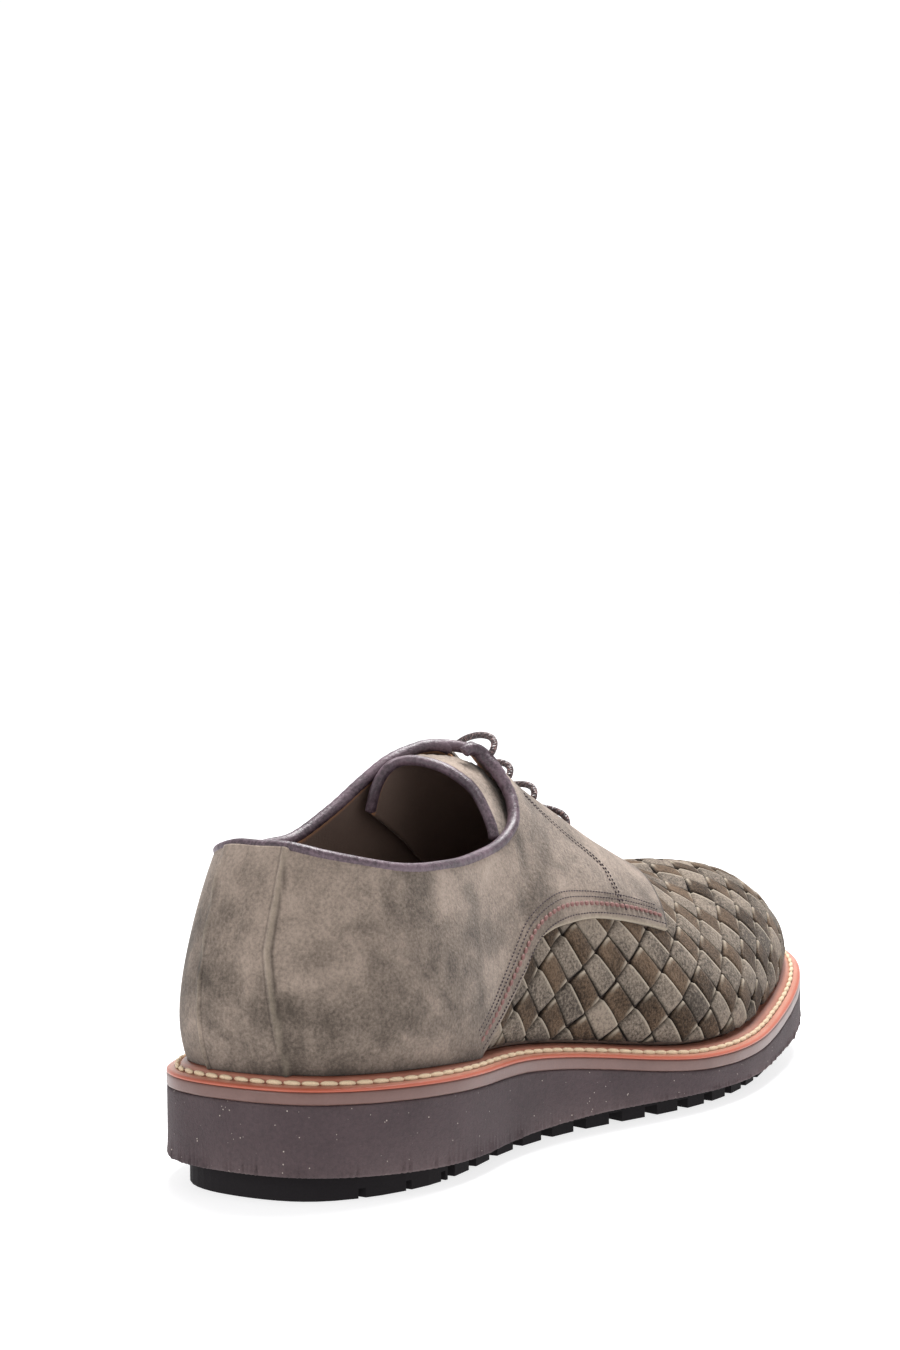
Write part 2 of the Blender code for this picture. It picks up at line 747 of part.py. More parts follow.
def make_vamp(cutters):
    """The woven vamp: a lattice on the sheet whose cells are the crossings of the strips.

    Each crossing has its middle raised by STRIP_RAISE, its edges by a half of it, and its corners not at all.
    """
    unit = STRIP_DIAMOND / 4
    reach = 2 * int(LENGTH / unit / 2)
    i, j = np.meshgrid(np.arange(reach), np.arange(reach), indexing="ij")
    x = (i + j - reach) * unit + 0.9 * LENGTH
    y = (i - j) * unit
    side, station, rise = from_sheet(x, y)
    kept = (behind_edge(x, y, vamp_edge()) < LAP) & (x > 0.12 * LENGTH) & (x < 1.6 * LENGTH)
    inside = kept & (rise > 0.02)
    wanted = kept[:-1, :-1] & kept[1:, :-1] & kept[1:, 1:] & kept[:-1, 1:]
    wanted &= inside[:-1, :-1] | inside[1:, :-1] | inside[1:, 1:] | inside[:-1, 1:]
    number = np.arange(reach * reach).reshape(reach, reach)
    corners = np.stack([number[:-1, :-1], number[1:, :-1], number[1:, 1:], number[:-1, 1:]], axis=-1)[wanted]
    used, faces = np.unique(corners, return_inverse=True)
    faces = faces.reshape(-1, 4)
    x, y = x.ravel()[used], y.ravel()[used]
    side, station, rise = from_sheet(x, y)
    outside = rise < 0.012
    station_x, station_y = to_sheet(side, station, np.zeros(len(used)))
    x = np.where(outside, station_x, x)
    y = np.where(outside, station_y, y)
    middle = (i.ravel()[used] % 2 == 1) & (j.ravel()[used] % 2 == 1)
    corner = (i.ravel()[used] % 2 == 0) & (j.ravel()[used] % 2 == 0)
    relief = np.where(middle, 0.0, np.where(corner, -1.0, -0.5)) * np.clip(rise / 0.05, 0, 1)
    outer = sheet_skin(x, y, STRIP_RAISE * relief - FIT)
    inner = sheet_skin(x, y, -VAMP_WALL)
    points, walls = shell(outer, inner, faces.tolist())
    rim = np.unique(walls[2 * len(faces):])
    spare = [np.setdiff1d(np.flatnonzero(part) + len(used), rim) for part in (middle, ~middle & ~corner)]
    return mesh_object("vamp", points, walls, "suede", cutters, spare)


def make_upper(group, cutters):
    upper = make_quarters(group)
    boolean(upper, make_vamp(cutters), "UNION")
    return upper


# Tongue, bindings and laces
def tongue_skin(along, across, lift):
    """The tongue's sheet, for across from -1 on its lateral edge to 1 on its medial edge, flattened from above."""
    points = sheet_skin(along * LENGTH + 0 * across, flow(along, TONGUE, 1) * BALL_WIDTH * across, lift)
    over = points[..., 2] - RIDGE_HEIGHT * flow(along, TONGUE, 2) - lift + TONGUE_TOP
    points[..., 2] -= (over + np.sqrt(over**2 + TONGUE_SOFTNESS**2)) / 2
    return points


def tongue_grid(lift):
    along = np.linspace(TONGUE[0][0], TONGUE[-1][0], 11)
    return tongue_skin(along[:, None], np.linspace(-1, 1, 12), lift)


def make_tongue(group):
    outer = tongue_grid(TONGUE_TOP)
    inner = tongue_grid(TONGUE_TOP - TONGUE_THICKNESS)
    rows, columns = outer.shape[:2]
    points, faces = shell(outer.reshape(-1, 3), inner.reshape(-1, 3), grid_faces(rows, columns))
    return mesh_object("tongue", points, faces, "lining", group)


def tube(name, points, radius, finish, group):
    """A round cord along the points: a bevelled curve with closed ends."""
    curve = bpy.data.curves.new(name, "CURVE")
    curve.dimensions = "3D"
    curve.bevel_depth = radius
    curve.bevel_resolution = 2
    curve.use_fill_caps = True
    line = curve.splines.new("POLY")
    line.points.add(len(points) - 1)
    places = np.asarray(points) - (*CENTRE, 0)
    line.points.foreach_set("co", np.column_stack([places, np.ones(len(points))]).ravel())
    line.use_smooth = True
    made = bpy.data.objects.new(name, curve)
    curve.materials.append(material(finish))
    group.objects.link(made)
    return made


def even_path(points, count):
    """Points spaced evenly along a path."""
    points = np.asarray(points)
    reach = np.concatenate([[0], np.cumsum(np.linalg.norm(np.diff(points, axis=0), axis=1))])
    wanted = np.linspace(0, reach[-1], count)
    return np.column_stack([np.interp(wanted, reach, points[:, k]) for k in range(3)])


def make_collar_binding(group):
    """A rolled leather edge that lies on the quarters' rim, from one top corner of the facings to the other."""
    steps = np.linspace(0, COLLAR_RIBS - 1, 80)
    middle = -QUARTER_WALL / 2
    path, raised = [], []
    for side, table, order in ((-1, LATERAL_RIBS, steps[::-1]), (1, MEDIAL_RIBS, steps[1:])):
        rows = numbered(table)
        station, rise = flow(order, rows, 3), flow(order, rows, 4)
        path.append(quarter_skin(side, station, rise, middle))
        raised.append(quarter_skin(side, station, rise, middle + QUARTER_WALL))
    path, raised = np.concatenate(path), np.concatenate(raised)
    out = np.cross(np.gradient(path, axis=0), raised - path)
    out /= np.linalg.norm(out, axis=1, keepdims=True)
    return tube("collar_binding", even_path(path + out * (BINDING_RADIUS + 3.5 * FIT), 50), BINDING_RADIUS, "binding", group)


def make_tongue_binding(group):
    """A thin rolled edge along the tongue's top."""
    middle = TONGUE_TOP - TONGUE_THICKNESS / 2
    across = np.linspace(-1, 1, 18)
    rim = tongue_skin(np.array(TONGUE[0][0]), across, middle)
    back = rim - tongue_skin(np.array(TONGUE[0][0] + 0.01), across, middle)
    back /= np.linalg.norm(back, axis=1, keepdims=True)
    path = rim + back * (TONGUE_BINDING_RADIUS + 3 * FIT)
    return tube("tongue_binding", path, TONGUE_BINDING_RADIUS, "binding", group)


def make_laces(group):
    """One lace, from the top lateral eyelet down in crossings to the bottom bar and back up to the top medial eyelet."""
    side_reach = EYELET_SIDE * BALL_WIDTH
    down = [(x * LENGTH, -side_reach if number % 2 == 0 else side_reach) for number, x in enumerate(EYELETS)]
    back = [(x, -y) for x, y in reversed(down)]
    stops = down + back
    rest = LACE_RADIUS + 4 * FIT
    path = []
    for number, (a, b) in enumerate(zip(stops, stops[1:])):
        t = np.linspace(0, 1, 6)[: None if number == len(stops) - 2 else -1]
        x = a[0] + (b[0] - a[0]) * t
        y = a[1] + (b[1] - a[1]) * t
        over = 0.0 if number < len(EYELETS) else 2 * LACE_RADIUS + 2 * FIT
        lift = rest + (over + LACE_RADIUS * 0.6) * np.sin(math.pi * t) ** 2
        path.append(sheet_skin(x, y, lift))
    return tube("laces", np.concatenate(path), LACE_RADIUS, "lace", group)


def build():
    clear_scene()
    shoe = collection("derby_shoe")
    cutters = collection("cutters")
    make_heel_tread(shoe, cutters)
    make_forefoot_tread(shoe, cutters)
    make_wedge(shoe)
    make_midsole(shoe)
    make_welt(shoe)
    make_insole(shoe)
    make_upper(shoe, cutters)
    make_tongue(shoe)
    make_collar_binding(shoe)
    make_tongue_binding(shoe)
    make_laces(shoe)


build()
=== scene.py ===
"""Looks of a man's derby shoe: suede quarters over a woven suede vamp, on a stitched welt and a foam wedge.

The frame is the part's own: +X to the toe, -Y to the outer (lateral) side, +Z up, metres, floor at z = 0. The
upper is drawn over the same last as the part, in the last's frame, which has x = 0 at the back of the heel. A
place on it is a side (-1 lateral, 1 medial), a station (the rows of OUTLINE, from 0 at the heel's back to
STATIONS at the tip of the toe) and a rise, from 0 at the feather line to 1 on the ridge.
"""

import math

import bpy
import numpy as np
from mathutils import Matrix


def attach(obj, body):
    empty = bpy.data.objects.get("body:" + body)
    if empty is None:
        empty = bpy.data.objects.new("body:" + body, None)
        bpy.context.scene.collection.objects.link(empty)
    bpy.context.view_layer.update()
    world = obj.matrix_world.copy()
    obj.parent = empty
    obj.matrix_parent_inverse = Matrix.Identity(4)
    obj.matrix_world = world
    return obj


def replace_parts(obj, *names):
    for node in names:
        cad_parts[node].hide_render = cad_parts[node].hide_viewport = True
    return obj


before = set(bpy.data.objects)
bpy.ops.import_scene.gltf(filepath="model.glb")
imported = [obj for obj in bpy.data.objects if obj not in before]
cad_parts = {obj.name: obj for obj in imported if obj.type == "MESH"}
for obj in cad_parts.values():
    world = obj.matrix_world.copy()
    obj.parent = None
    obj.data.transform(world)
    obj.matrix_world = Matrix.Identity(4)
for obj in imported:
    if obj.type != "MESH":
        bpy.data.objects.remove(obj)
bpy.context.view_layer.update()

# Driving sizes
LENGTH = 0.304
BALL_WIDTH = 0.104
WELT_WIDTH = 0.0057
WELT_EDGE = 0.0012
WELT_RISE = 0.0029
MIDSOLE_EDGE = 0.0024
INSOLE_THICKNESS = 0.0030
HEEL_STACK = 0.0286
RIDGE_HEIGHT = 0.127
TREAD_DEPTH = 0.0048
STRIP_DIAMOND = 0.0135
STRIP_THICKNESS = 0.0012
QUARTER_RAISE = 0.0013
SUEDE = 0.0016
QUARTER_WALL = 0.0026
STITCH = 0.0049
FIT = 0.0003
TONGUE_THICKNESS = 0.0016
LACE_RADIUS = 0.0010
rng = np.random.default_rng(7)

# The sole's edge at each station. Along is a share of LENGTH, the sides are shares of half of BALL_WIDTH.
# along, lateral side, medial side
OUTLINE = (
    (0.026, 0.494, 0.494),
    (0.148, 0.798, 0.798),
    (0.280, 0.723, 0.705),
    (0.411, 0.775, 0.675),
    (0.543, 0.981, 0.810),
    (0.658, 0.996, 0.975),
    (0.773, 0.848, 0.985),
    (0.872, 0.660, 0.855),
    (0.954, 0.370, 0.560),
)
TOE_SIDE = 0.08
STATIONS = len(OUTLINE) + 1

# Heights along the shoe. The welt's edge is a share of HEEL_STACK, the foam's underside of TREAD_DEPTH and
# the ridge, which over the heel is the top of the ankle that the collar leaves open, of RIDGE_HEIGHT.
# along, welt edge, foam underside, ridge
HEIGHTS = (
    (0.000, 1.066, 1.58, 1.000),
    (0.148, 1.000, 1.17, 1.000),
    (0.197, 0.972, 1.06, 1.000),
    (0.312, 0.906, 1.00, 0.953),
    (0.370, 0.832, 1.04, 0.902),
    (0.428, 0.738, 1.10, 0.811),
    (0.487, 0.636, 1.10, 0.732),
    (0.543, 0.563, 1.08, 0.657),
    (0.600, 0.535, 1.04, 0.590),
    (0.650, 0.535, 1.02, 0.541),
    (0.691, 0.552, 1.04, 0.521),
    (0.740, 0.601, 1.25, 0.519),
    (0.839, 0.755, 1.63, 0.492),
    (0.920, 0.916, 2.29, 0.449),
    (1.000, 1.035, 2.92, 0.394),
)

# The form of the sections: the power of their curve, how far they swell past the feather line on each side as
# a share of half of BALL_WIDTH, and the place of the ridge as a share of it.
# along, power, lateral swell, medial swell, ridge side
FORM = (
    (0.00, 1.7, 0.060, 0.060, 0.000),
    (0.15, 1.8, 0.052, 0.054, 0.000),
    (0.30, 2.1, 0.040, 0.022, 0.019),
    (0.45, 2.0, 0.038, 0.010, 0.048),
    (0.60, 1.9, 0.038, 0.029, 0.058),
    (0.72, 2.1, 0.029, 0.029, 0.058),
    (0.86, 2.2, 0.019, 0.019, 0.044),
    (1.00, 2.2, 0.012, 0.012, 0.040),
)
HEEL_CENTRE = 0.145
TOE_CENTRE = 0.855
TOE_SWING = 0.72
CENTRE_SOFTNESS = 0.02
SWELL_POWER = 4

# Ribs of the quarters, from the back of the heel to the front edge of the facing. Each goes from the foot, on
# the feather line or on the curved edge over the vamp, to the top, on the collar or on the throat's edge.
# foot station, foot rise, lateral top station, lateral top rise, medial top station, medial top rise
RIBS = (
    (0.00, 0.000, 0.00, 0.562, 0.00, 0.562),
    (0.50, 0.000, 0.44, 0.561, 0.44, 0.560),
    (1.00, 0.000, 0.96, 0.545, 0.96, 0.543),
    (1.50, 0.000, 1.40, 0.527, 1.40, 0.528),
    (2.00, 0.000, 1.90, 0.502, 1.90, 0.518),
    (2.35, 0.000, 2.30, 0.492, 2.30, 0.522),
    (2.62, 0.000, 2.75, 0.498, 2.62, 0.540),
    (2.94, 0.085, 3.22, 0.540, 2.94, 0.622),
    (3.24, 0.186, 3.55, 0.618, 3.18, 0.718),
    (3.45, 0.280, 3.70, 0.710, 3.36, 0.800),
    (3.66, 0.325, 3.75, 0.790, 3.54, 0.865),
    (3.88, 0.358, 3.74, 0.870, 3.68, 0.920),
    (4.08, 0.386, 3.76, 0.945, 3.82, 0.955),
    (4.28, 0.402, 4.10, 0.955, 4.12, 0.958),
    (4.54, 0.410, 4.60, 0.952, 4.60, 0.954),
    (4.78, 0.412, 5.08, 0.948, 5.08, 0.950),
    (4.93, 0.410, 5.48, 0.942, 5.48, 0.944),
    (5.06, 0.406, 5.85, 0.930, 5.85, 0.932),
)
LATERAL_RIBS = tuple(row[:4] for row in RIBS)
MEDIAL_RIBS = tuple((*row[:2], *row[4:]) for row in RIBS)
COLLAR_RIBS = 13

# The tongue from its top to its root under the vamp: width to each side as a share of BALL_WIDTH, and the
# height that its middle is flattened to as a share of RIDGE_HEIGHT
# along, half width, height
TONGUE = (
    (0.325, 0.38, 0.855),
    (0.350, 0.39, 0.870),
    (0.385, 0.39, 0.885),
    (0.420, 0.38, 0.900),
    (0.500, 0.34, 0.900),
    (0.580, 0.30, 0.900),
    (0.655, 0.27, 0.900),
)
TONGUE_SOFTNESS = 0.004
TONGUE_TOP = -0.0034

# Eyelet pairs from the top of the throat down, and how far each lies from the ridge as a share of BALL_WIDTH
EYELETS = (0.388, 0.434, 0.480, 0.526)
EYELET_SIDE = 0.125


def unit(vectors):
    """Each vector divided by its own length."""
    return vectors / np.linalg.norm(vectors, axis=-1, keepdims=True)


# Curves through tables
def flow(x, table, column):
    """Smooth curve through a column: cubic pieces whose end slopes are the mean of the chords beside them."""
    xs = np.array([row[0] for row in table])
    ys = np.array([row[column] for row in table])
    step = np.diff(xs)
    chord = np.diff(ys) / step
    slope = np.empty_like(ys)
    slope[1:-1] = (chord[:-1] * step[1:] + chord[1:] * step[:-1]) / (step[1:] + step[:-1])
    slope[0] = chord[0]
    slope[-1] = chord[-1]
    x = np.clip(x, xs[0], xs[-1])
    k = np.clip(np.searchsorted(xs, x, side="right") - 1, 0, len(xs) - 2)
    t = (x - xs[k]) / step[k]
    from_low = ys[k] * (1 + 2 * t) * (1 - t) ** 2 + slope[k] * step[k] * t * (1 - t) ** 2
    from_high = ys[k + 1] * t**2 * (3 - 2 * t) + slope[k + 1] * step[k] * t**2 * (t - 1)
    return from_low + from_high


def numbered(rows):
    """The rows with their own number as the first column, for a curve that runs from row to row."""
    return tuple((number, *row) for number, row in enumerate(rows))


def outline_points():
    """The edge's points: back of the heel, lateral side, tip of the toe, medial side back to the heel."""
    half = BALL_WIDTH / 2
    lateral = [(along * LENGTH, -outer * half) for along, outer, inner in OUTLINE]
    medial = [(along * LENGTH, inner * half) for along, outer, inner in reversed(OUTLINE)]
    return np.array([(0.0, 0.0), *lateral, (LENGTH, TOE_SIDE * half), *medial])


def closed_spline(points):
    """Knot gaps, the roots of the chords, and second derivatives of the closed cubic spline."""
    count = len(points)
    after = np.roll(points, -1, axis=0)
    before = np.roll(points, 1, axis=0)
    gap = np.sqrt(np.linalg.norm(after - points, axis=1))
    last = np.roll(gap, 1)
    rows = np.arange(count)
    system = np.zeros((count, count))
    system[rows, rows] = 2 * (last + gap)
    system[rows, (rows + 1) % count] += gap
    system[rows, (rows - 1) % count] += last
    pull = 6 * ((after - points) / gap[:, None] - (points - before) / last[:, None])
    return gap, np.linalg.solve(system, pull)


POINTS = outline_points()
GAPS, BENDS = closed_spline(POINTS)


def outline(u):
    """Place and heading of the sole's edge at u, which counts stations round heel, lateral side, toe, medial.

    Between two knots, t and r away from them, the spline is (low bend * r cubed + high bend * t cubed)
    / (6 * gap) + low * r + high * t.
    """
    u = np.asarray(u, float) % len(POINTS)
    k = np.floor(u).astype(int)
    after = (k + 1) % len(POINTS)
    gap = GAPS[k][..., None]
    t = (u - k)[..., None] * gap
    r = gap - t
    low = POINTS[k] / gap - BENDS[k] * gap / 6
    high = POINTS[after] / gap - BENDS[after] * gap / 6
    place = (BENDS[k] * r**3 + BENDS[after] * t**3) / (6 * gap) + low * r + high * t
    heading = (BENDS[after] * t**2 - BENDS[k] * r**2) / (2 * gap) - low + high
    return place, unit(heading)


EDGE_POINTS = 4000
EDGE = outline(np.linspace(0, len(POINTS), EDGE_POINTS))[0]
CENTRE = (EDGE.min(axis=0) + EDGE.max(axis=0)) / 2


def edge(side, station, inset=0.0):
    """The sole's edge, moved inwards by inset, at a station of one side: -1 is lateral and +1 medial."""
    u = np.where(np.asarray(side) < 0, station, len(POINTS) - np.asarray(station, float))
    place, heading = outline(u)
    inward = np.stack([-heading[..., 1], heading[..., 0]], axis=-1)
    return place + inward * inset


def welt_edge(x):
    """Height of the welt's edge over the floor."""
    return HEEL_STACK * flow(x / LENGTH, HEIGHTS, 1)


def foam_underside(x):
    """Height of the foam's underside over the floor."""
    return TREAD_DEPTH * flow(x / LENGTH, HEIGHTS, 2)


def ridge_height(x):
    """Height of the last's ridge over the floor."""
    return RIDGE_HEIGHT * flow(x / LENGTH, HEIGHTS, 3)


def station_of(side, x):
    """The station where one side of the sole's edge is at x."""
    stations = np.linspace(0, STATIONS, 800)
    return np.interp(x, edge(side, stations)[:, 0], stations)


# The last, which the upper is drawn over
def soft_clip(x, low, high, soft):
    """x held between low and high by two round ramps, each (v + root of (v squared + soft squared)) / 2."""

    def ramp(v):
        return (v + np.sqrt(v * v + soft * soft)) / 2

    return low + ramp(x - low) - ramp(x - high)


TIP_SIDE = edge(-1, STATIONS, WELT_WIDTH)[1]


def ridge_side(along):
    """How far the ridge lies to the medial side: by FORM, and level with the tip of the toe at TOE_CENTRE.

    The change from one to the other goes as the square of the share of the way from TOE_SWING to TOE_CENTRE.
    """
    side = flow(along, FORM, 4) * BALL_WIDTH / 2
    swing = np.clip((along - TOE_SWING) / (TOE_CENTRE - TOE_SWING), 0, 1)
    return side + (TIP_SIDE - side) * swing**2


def foot_of_section(side, station):
    """A section stands on a line from the feather line to an axis: parallel lines, and fans at heel and toe.

    The axis keeps the feather line's place along the shoe, held between HEEL_CENTRE and TOE_CENTRE softly.
    Gives the two ends in plan, the height of the feather line, and the axis as a share of LENGTH.
    """
    feather = edge(side, station, WELT_WIDTH)
    along = soft_clip(feather[..., 0] / LENGTH, HEEL_CENTRE, TOE_CENTRE, CENTRE_SOFTNESS)
    axis = np.stack([along * LENGTH, ridge_side(along)], axis=-1)
    base = welt_edge(edge(side, station)[..., 0]) + WELT_RISE + FIT
    return feather, axis, base, along


SECTION_POINTS = 49
# How far apart the places are that a normal is taken from, as stations and as metres of the sheet
PROBE_STATION = 0.02
PROBE_SHEET = 0.0006
# The halvings that find a station on the sheet, and the first station that the sheet reaches back to
HALVINGS = 22
SHEET_BACK = 1.5


def sections(side, station):
    """Points up each section and their arc length.

    A section is a quarter of a superellipse from the feather line to the ridge: in plan it goes inwards as
    1 - cos(t) ** (2 / power), less a swell, and it climbs as sin(t) ** (2 / power) up to the ridge's height.
    """
    side, station = np.broadcast_arrays(np.asarray(side, float), np.asarray(station, float))
    feather, axis, base, along = foot_of_section(side, station)
    turn = np.linspace(0, math.pi / 2, SECTION_POINTS)
    power = flow(along, FORM, 1)[..., None]
    swell = np.where(side < 0, flow(along, FORM, 2), flow(along, FORM, 3))[..., None] * BALL_WIDTH / 2
    reach = np.linalg.norm(axis - feather, axis=-1)[..., None]
    inward = 1 - np.clip(np.cos(turn), 0, 1) ** (2 / power)
    inward = inward - swell / reach * np.sin(math.pi * (1 - (1 - turn * 2 / math.pi) ** SWELL_POWER))
    plan = feather[..., None, :] + (axis - feather)[..., None, :] * inward[..., None]
    climb = np.clip(np.sin(turn), 0, 1) ** (2 / power)
    height = base[..., None] + (ridge_height(plan[..., 0]) - base[..., None]) * climb
    points = np.concatenate([plan, height[..., None]], axis=-1)
    steps = np.linalg.norm(np.diff(points, axis=-2), axis=-1)
    arc = np.concatenate([np.zeros(steps.shape[:-1] + (1,)), np.cumsum(steps, axis=-1)], axis=-1)
    return points, arc


def half_girth(side, station):
    """The arc length of a section from the feather line to the ridge."""
    return sections(side, station)[1][..., -1]


def on_last(side, station, rise):
    """The point of the last at a station and a rise, by arc length up the section."""
    side, station, rise = np.broadcast_arrays(side, station, rise)
    points, arc = sections(side, station)
    wanted = np.clip(rise, 0, 1) * arc[..., -1]
    k = np.clip((arc < wanted[..., None]).sum(axis=-1) - 1, 0, SECTION_POINTS - 2)[..., None]
    low = np.take_along_axis(arc, k, axis=-1)
    high = np.take_along_axis(arc, k + 1, axis=-1)
    t = (wanted[..., None] - low) / (high - low)
    a = np.take_along_axis(points, k[..., None], axis=-2)[..., 0, :]
    b = np.take_along_axis(points, k[..., None] + 1, axis=-2)[..., 0, :]
    return a + (b - a) * t


def quarter_skin(side, station, rise, lift):
    """A point of the last moved outwards by lift, where both sides share the heel's back."""
    side, station, rise, lift = np.broadcast_arrays(np.asarray(side, float), station, rise, lift)
    step = PROBE_STATION
    near = np.minimum(rise, 1 - step)
    point = on_last(side, station, rise)
    across = on_last(side, station + step, near) - on_last(side, station - step, near)
    up = on_last(side, station, near + step) - on_last(side, station, np.maximum(near - step, 0))
    normal = unit(np.cross(across, up) * -side[..., None])
    return point + normal * lift[..., None]


# The flat sheet that the vamp and the tongue are cut from
def to_sheet(side, station, rise):
    """Where a place of the last lies on the flat sheet: along the ridge, and out from it by arc length."""
    feather, axis, base, along = foot_of_section(side, station)
    away = unit(feather - axis)
    out = (1 - rise) * half_girth(side, station)
    return axis[..., 0] + away[..., 0] * out, away[..., 1] * out


def from_sheet(x, y):
    """Side, station and rise of a place on the sheet: the station is found by halving."""
    side = np.where(y < 0, -1.0, 1.0)
    low = np.full(np.shape(x), SHEET_BACK)
    high = np.full(np.shape(x), float(STATIONS))
    for _ in range(HALVINGS):
        middle = (low + high) / 2
        feather, axis, base, along = foot_of_section(side, middle)
        away = feather - axis
        reached = axis[..., 0] + y * away[..., 0] / away[..., 1]
        low = np.where(reached < x, middle, low)
        high = np.where(reached < x, high, middle)
    station = (low + high) / 2
    feather, axis, base, along = foot_of_section(side, station)
    away = unit(feather - axis)
    out = (x - axis[..., 0]) * away[..., 0] + y * away[..., 1]
    return side, station, 1 - out / half_girth(side, station)


def sheet_point(x, y):
    """The point of the last at a place on the sheet."""
    return on_last(*from_sheet(x, y))


def sheet_skin(x, y, lift):
    """A point of the last at a place on the sheet, moved outwards by lift."""
    step = PROBE_SHEET
    point = sheet_point(x, y)
    along = sheet_point(x + step, y) - sheet_point(x - step, y)
    across = sheet_point(x, y + step) - sheet_point(x, y - step)
    return point + unit(np.cross(along, across)) * np.broadcast_to(lift, np.shape(x))[..., None]


# Shader expressions
class Value:
    """A shader socket or a number, with Python's operators and any other node through made()."""

    def __init__(self, tree, source):
        self.tree = tree
        self.source = source

    def made(self, kind, inputs=(), output=0, **settings):
        """A node of the kind with its settings, and its inputs by number or name. Gives the chosen output."""
        node = self.tree.nodes.new("ShaderNode" + kind)
        for name, setting in settings.items():
            setattr(node, name, setting)
        for place, given in dict(inputs).items():
            plug(self.tree, node.inputs[place], given)
        return Value(self.tree, node.outputs[output])

    def maths(self, operation, *others):
        return self.made("Math", enumerate((self, *others)), operation=operation)

    def __add__(self, other):
        return self.maths("ADD", other)

    def __sub__(self, other):
        return self.maths("SUBTRACT", other)

    def __mul__(self, other):
        return self.maths("MULTIPLY", other)

    def __rsub__(self, other):
        return Value(self.tree, other).maths("SUBTRACT", self)

    __radd__ = __add__
    __rmul__ = __mul__

    def above(self, low, high):
        """0 at low, 1 at high and a smooth step between."""
        inputs = {"Value": self, "From Min": low, "From Max": high}
        return self.made("MapRange", inputs, interpolation_type="SMOOTHSTEP")

    def mix(self, first, second):
        """The first colour where this is 0 and the second where it is 1."""
        inputs = {0: self, 6: first, 7: second}
        return self.made("Mix", inputs, 2, data_type="RGBA", clamp_factor=True)


def plug(tree, socket, given):
    """Links a value to the socket, or sets the socket to a number or a colour."""
    if isinstance(given, Value):
        given = given.source
    if isinstance(given, bpy.types.NodeSocket):
        tree.links.new(given, socket)
    elif socket.type == "RGBA" and len(given) == 3:
        socket.default_value = (*given, 1)
    else:
        socket.default_value = given


def material(name, build, **constants):
    """A Principled material. build() gives its varying inputs, and a height in metres for its bump."""
    made = bpy.data.materials.new(name)
    made.use_nodes = True
    tree = made.node_tree
    shader = tree.nodes["Principled BSDF"]
    for socket, constant in constants.items():
        plug(tree, shader.inputs[socket.replace("_", " ")], constant)
    value = Value(tree, 0.0)
    varying = build(value, value.made("TexCoord", output="Object"))
    height = varying.pop("height", None)
    for socket, given in varying.items():
        plug(tree, shader.inputs[socket], given)
    if height is not None:
        bump = value.made("Bump", {"Height": height * 1000, "Distance": 0.001, "Strength": 1.0})
        plug(tree, shader.inputs["Normal"], bump)
    return made


def noise(value, place, size, detail=2.0, rough=0.5, distortion=0.0):
    """Noise whose features are about size metres across."""
    inputs = {"Vector": place, "Scale": 1 / size, "Detail": detail, "Roughness": rough}
    return value.made("TexNoise", inputs | {"Distortion": distortion})


def attribute(value, name):
    """The piece's own value of that name."""
    return value.made("Attribute", output="Fac", attribute_name=name)


def suede(value, place):
    """Nap brushed light and dark in soft patches, with a fine pile, pale cut edges, dark edge paint, and
    painted light: a highlight on the heel seam's ridge and shade beside it and at the foot.
    """
    patches = noise(value, place, 0.036, 2, 0.5, 0.8)
    small = noise(value, place, 0.009, 4, 0.6, 0.5)
    grain = noise(value, place, 0.0009, 3, 0.7)
    nap = (patches - 0.5) * 1.5 + (small - 0.5) * 0.8 + (grain - 0.5) * 0.9 + 0.44
    colour = nap.above(-0.1, 1.1).mix((0.070, 0.055, 0.044), (0.390, 0.310, 0.255))
    # Pale cut edges, and a painted highlight on the heel strip's seam ridge
    colour = attribute(value, "edge").mix(colour, (0.40, 0.34, 0.26))
    # Painted shade beside the heel seam and at the foot over the welt, and real edge paint on the facing's
    # front
    colour = (attribute(value, "dark") * 0.85).mix(colour, (0.020, 0.014, 0.012))
    return {"Base Color": colour, "height": grain * 0.00030 + small * 0.00030}


def weave(value, place):
    """Suede strips: one way grey and light, the other brown and dark, with pale cut edges, brighter on their
    upper side as a painted highlight, and painted shade at their ends and in the gaps.
    """
    patches = noise(value, place, 0.016, 3, 0.6, 0.5)
    grain = noise(value, place, 0.0008, 3, 0.75)
    nap = (patches - 0.5) * 1.0 + (grain - 0.5) * 2.0 + attribute(value, "tone")
    nap = nap.above(0.0, 1.0)
    grey = nap.mix((0.055, 0.044, 0.036), (0.300, 0.245, 0.195))
    brown = nap.mix((0.024, 0.015, 0.009), (0.150, 0.098, 0.062))
    colour = attribute(value, "family").mix(grey, brown)
    # Pale cut edges, with a painted highlight on each tile's upper side
    colour = (attribute(value, "edge") * 0.90).mix(colour, (0.42, 0.36, 0.285))
    # Painted shade under the crossing strips, in the gaps, on the tiles' lower sides and low on the foot
    colour = attribute(value, "dark").mix(colour, (0.005, 0.003, 0.002))
    return {"Base Color": colour, "height": grain * 0.00040 + patches * 0.0004}


def binding_leather(value, place):
    """Dark plum leather, worn lighter where a fine and a wide noise add up."""
    grain = noise(value, place, 0.0009, 3, 0.6)
    worn = (grain - 0.5) * 1.0 + noise(value, place, 0.012, 2, 0.5)
    colour = worn.above(0.25, 0.75).mix((0.042, 0.025, 0.034), (0.135, 0.088, 0.110))
    return {"Base Color": colour, "Roughness": 0.34 + grain * 0.22, "height": grain * 0.00020}


def lining_leather(value, place):
    """Brown lining in wide soft patches, with a pale orange cut edge."""
    grain = noise(value, place, 0.0009, 3, 0.6)
    colour = noise(value, place, 0.02, 2, 0.5).mix((0.120, 0.078, 0.062), (0.180, 0.125, 0.100))
    colour = attribute(value, "edge").mix(colour, (0.55, 0.27, 0.14))
    return {"Base Color": colour, "Roughness": 0.55 + grain * 0.2, "height": grain * 0.00012}


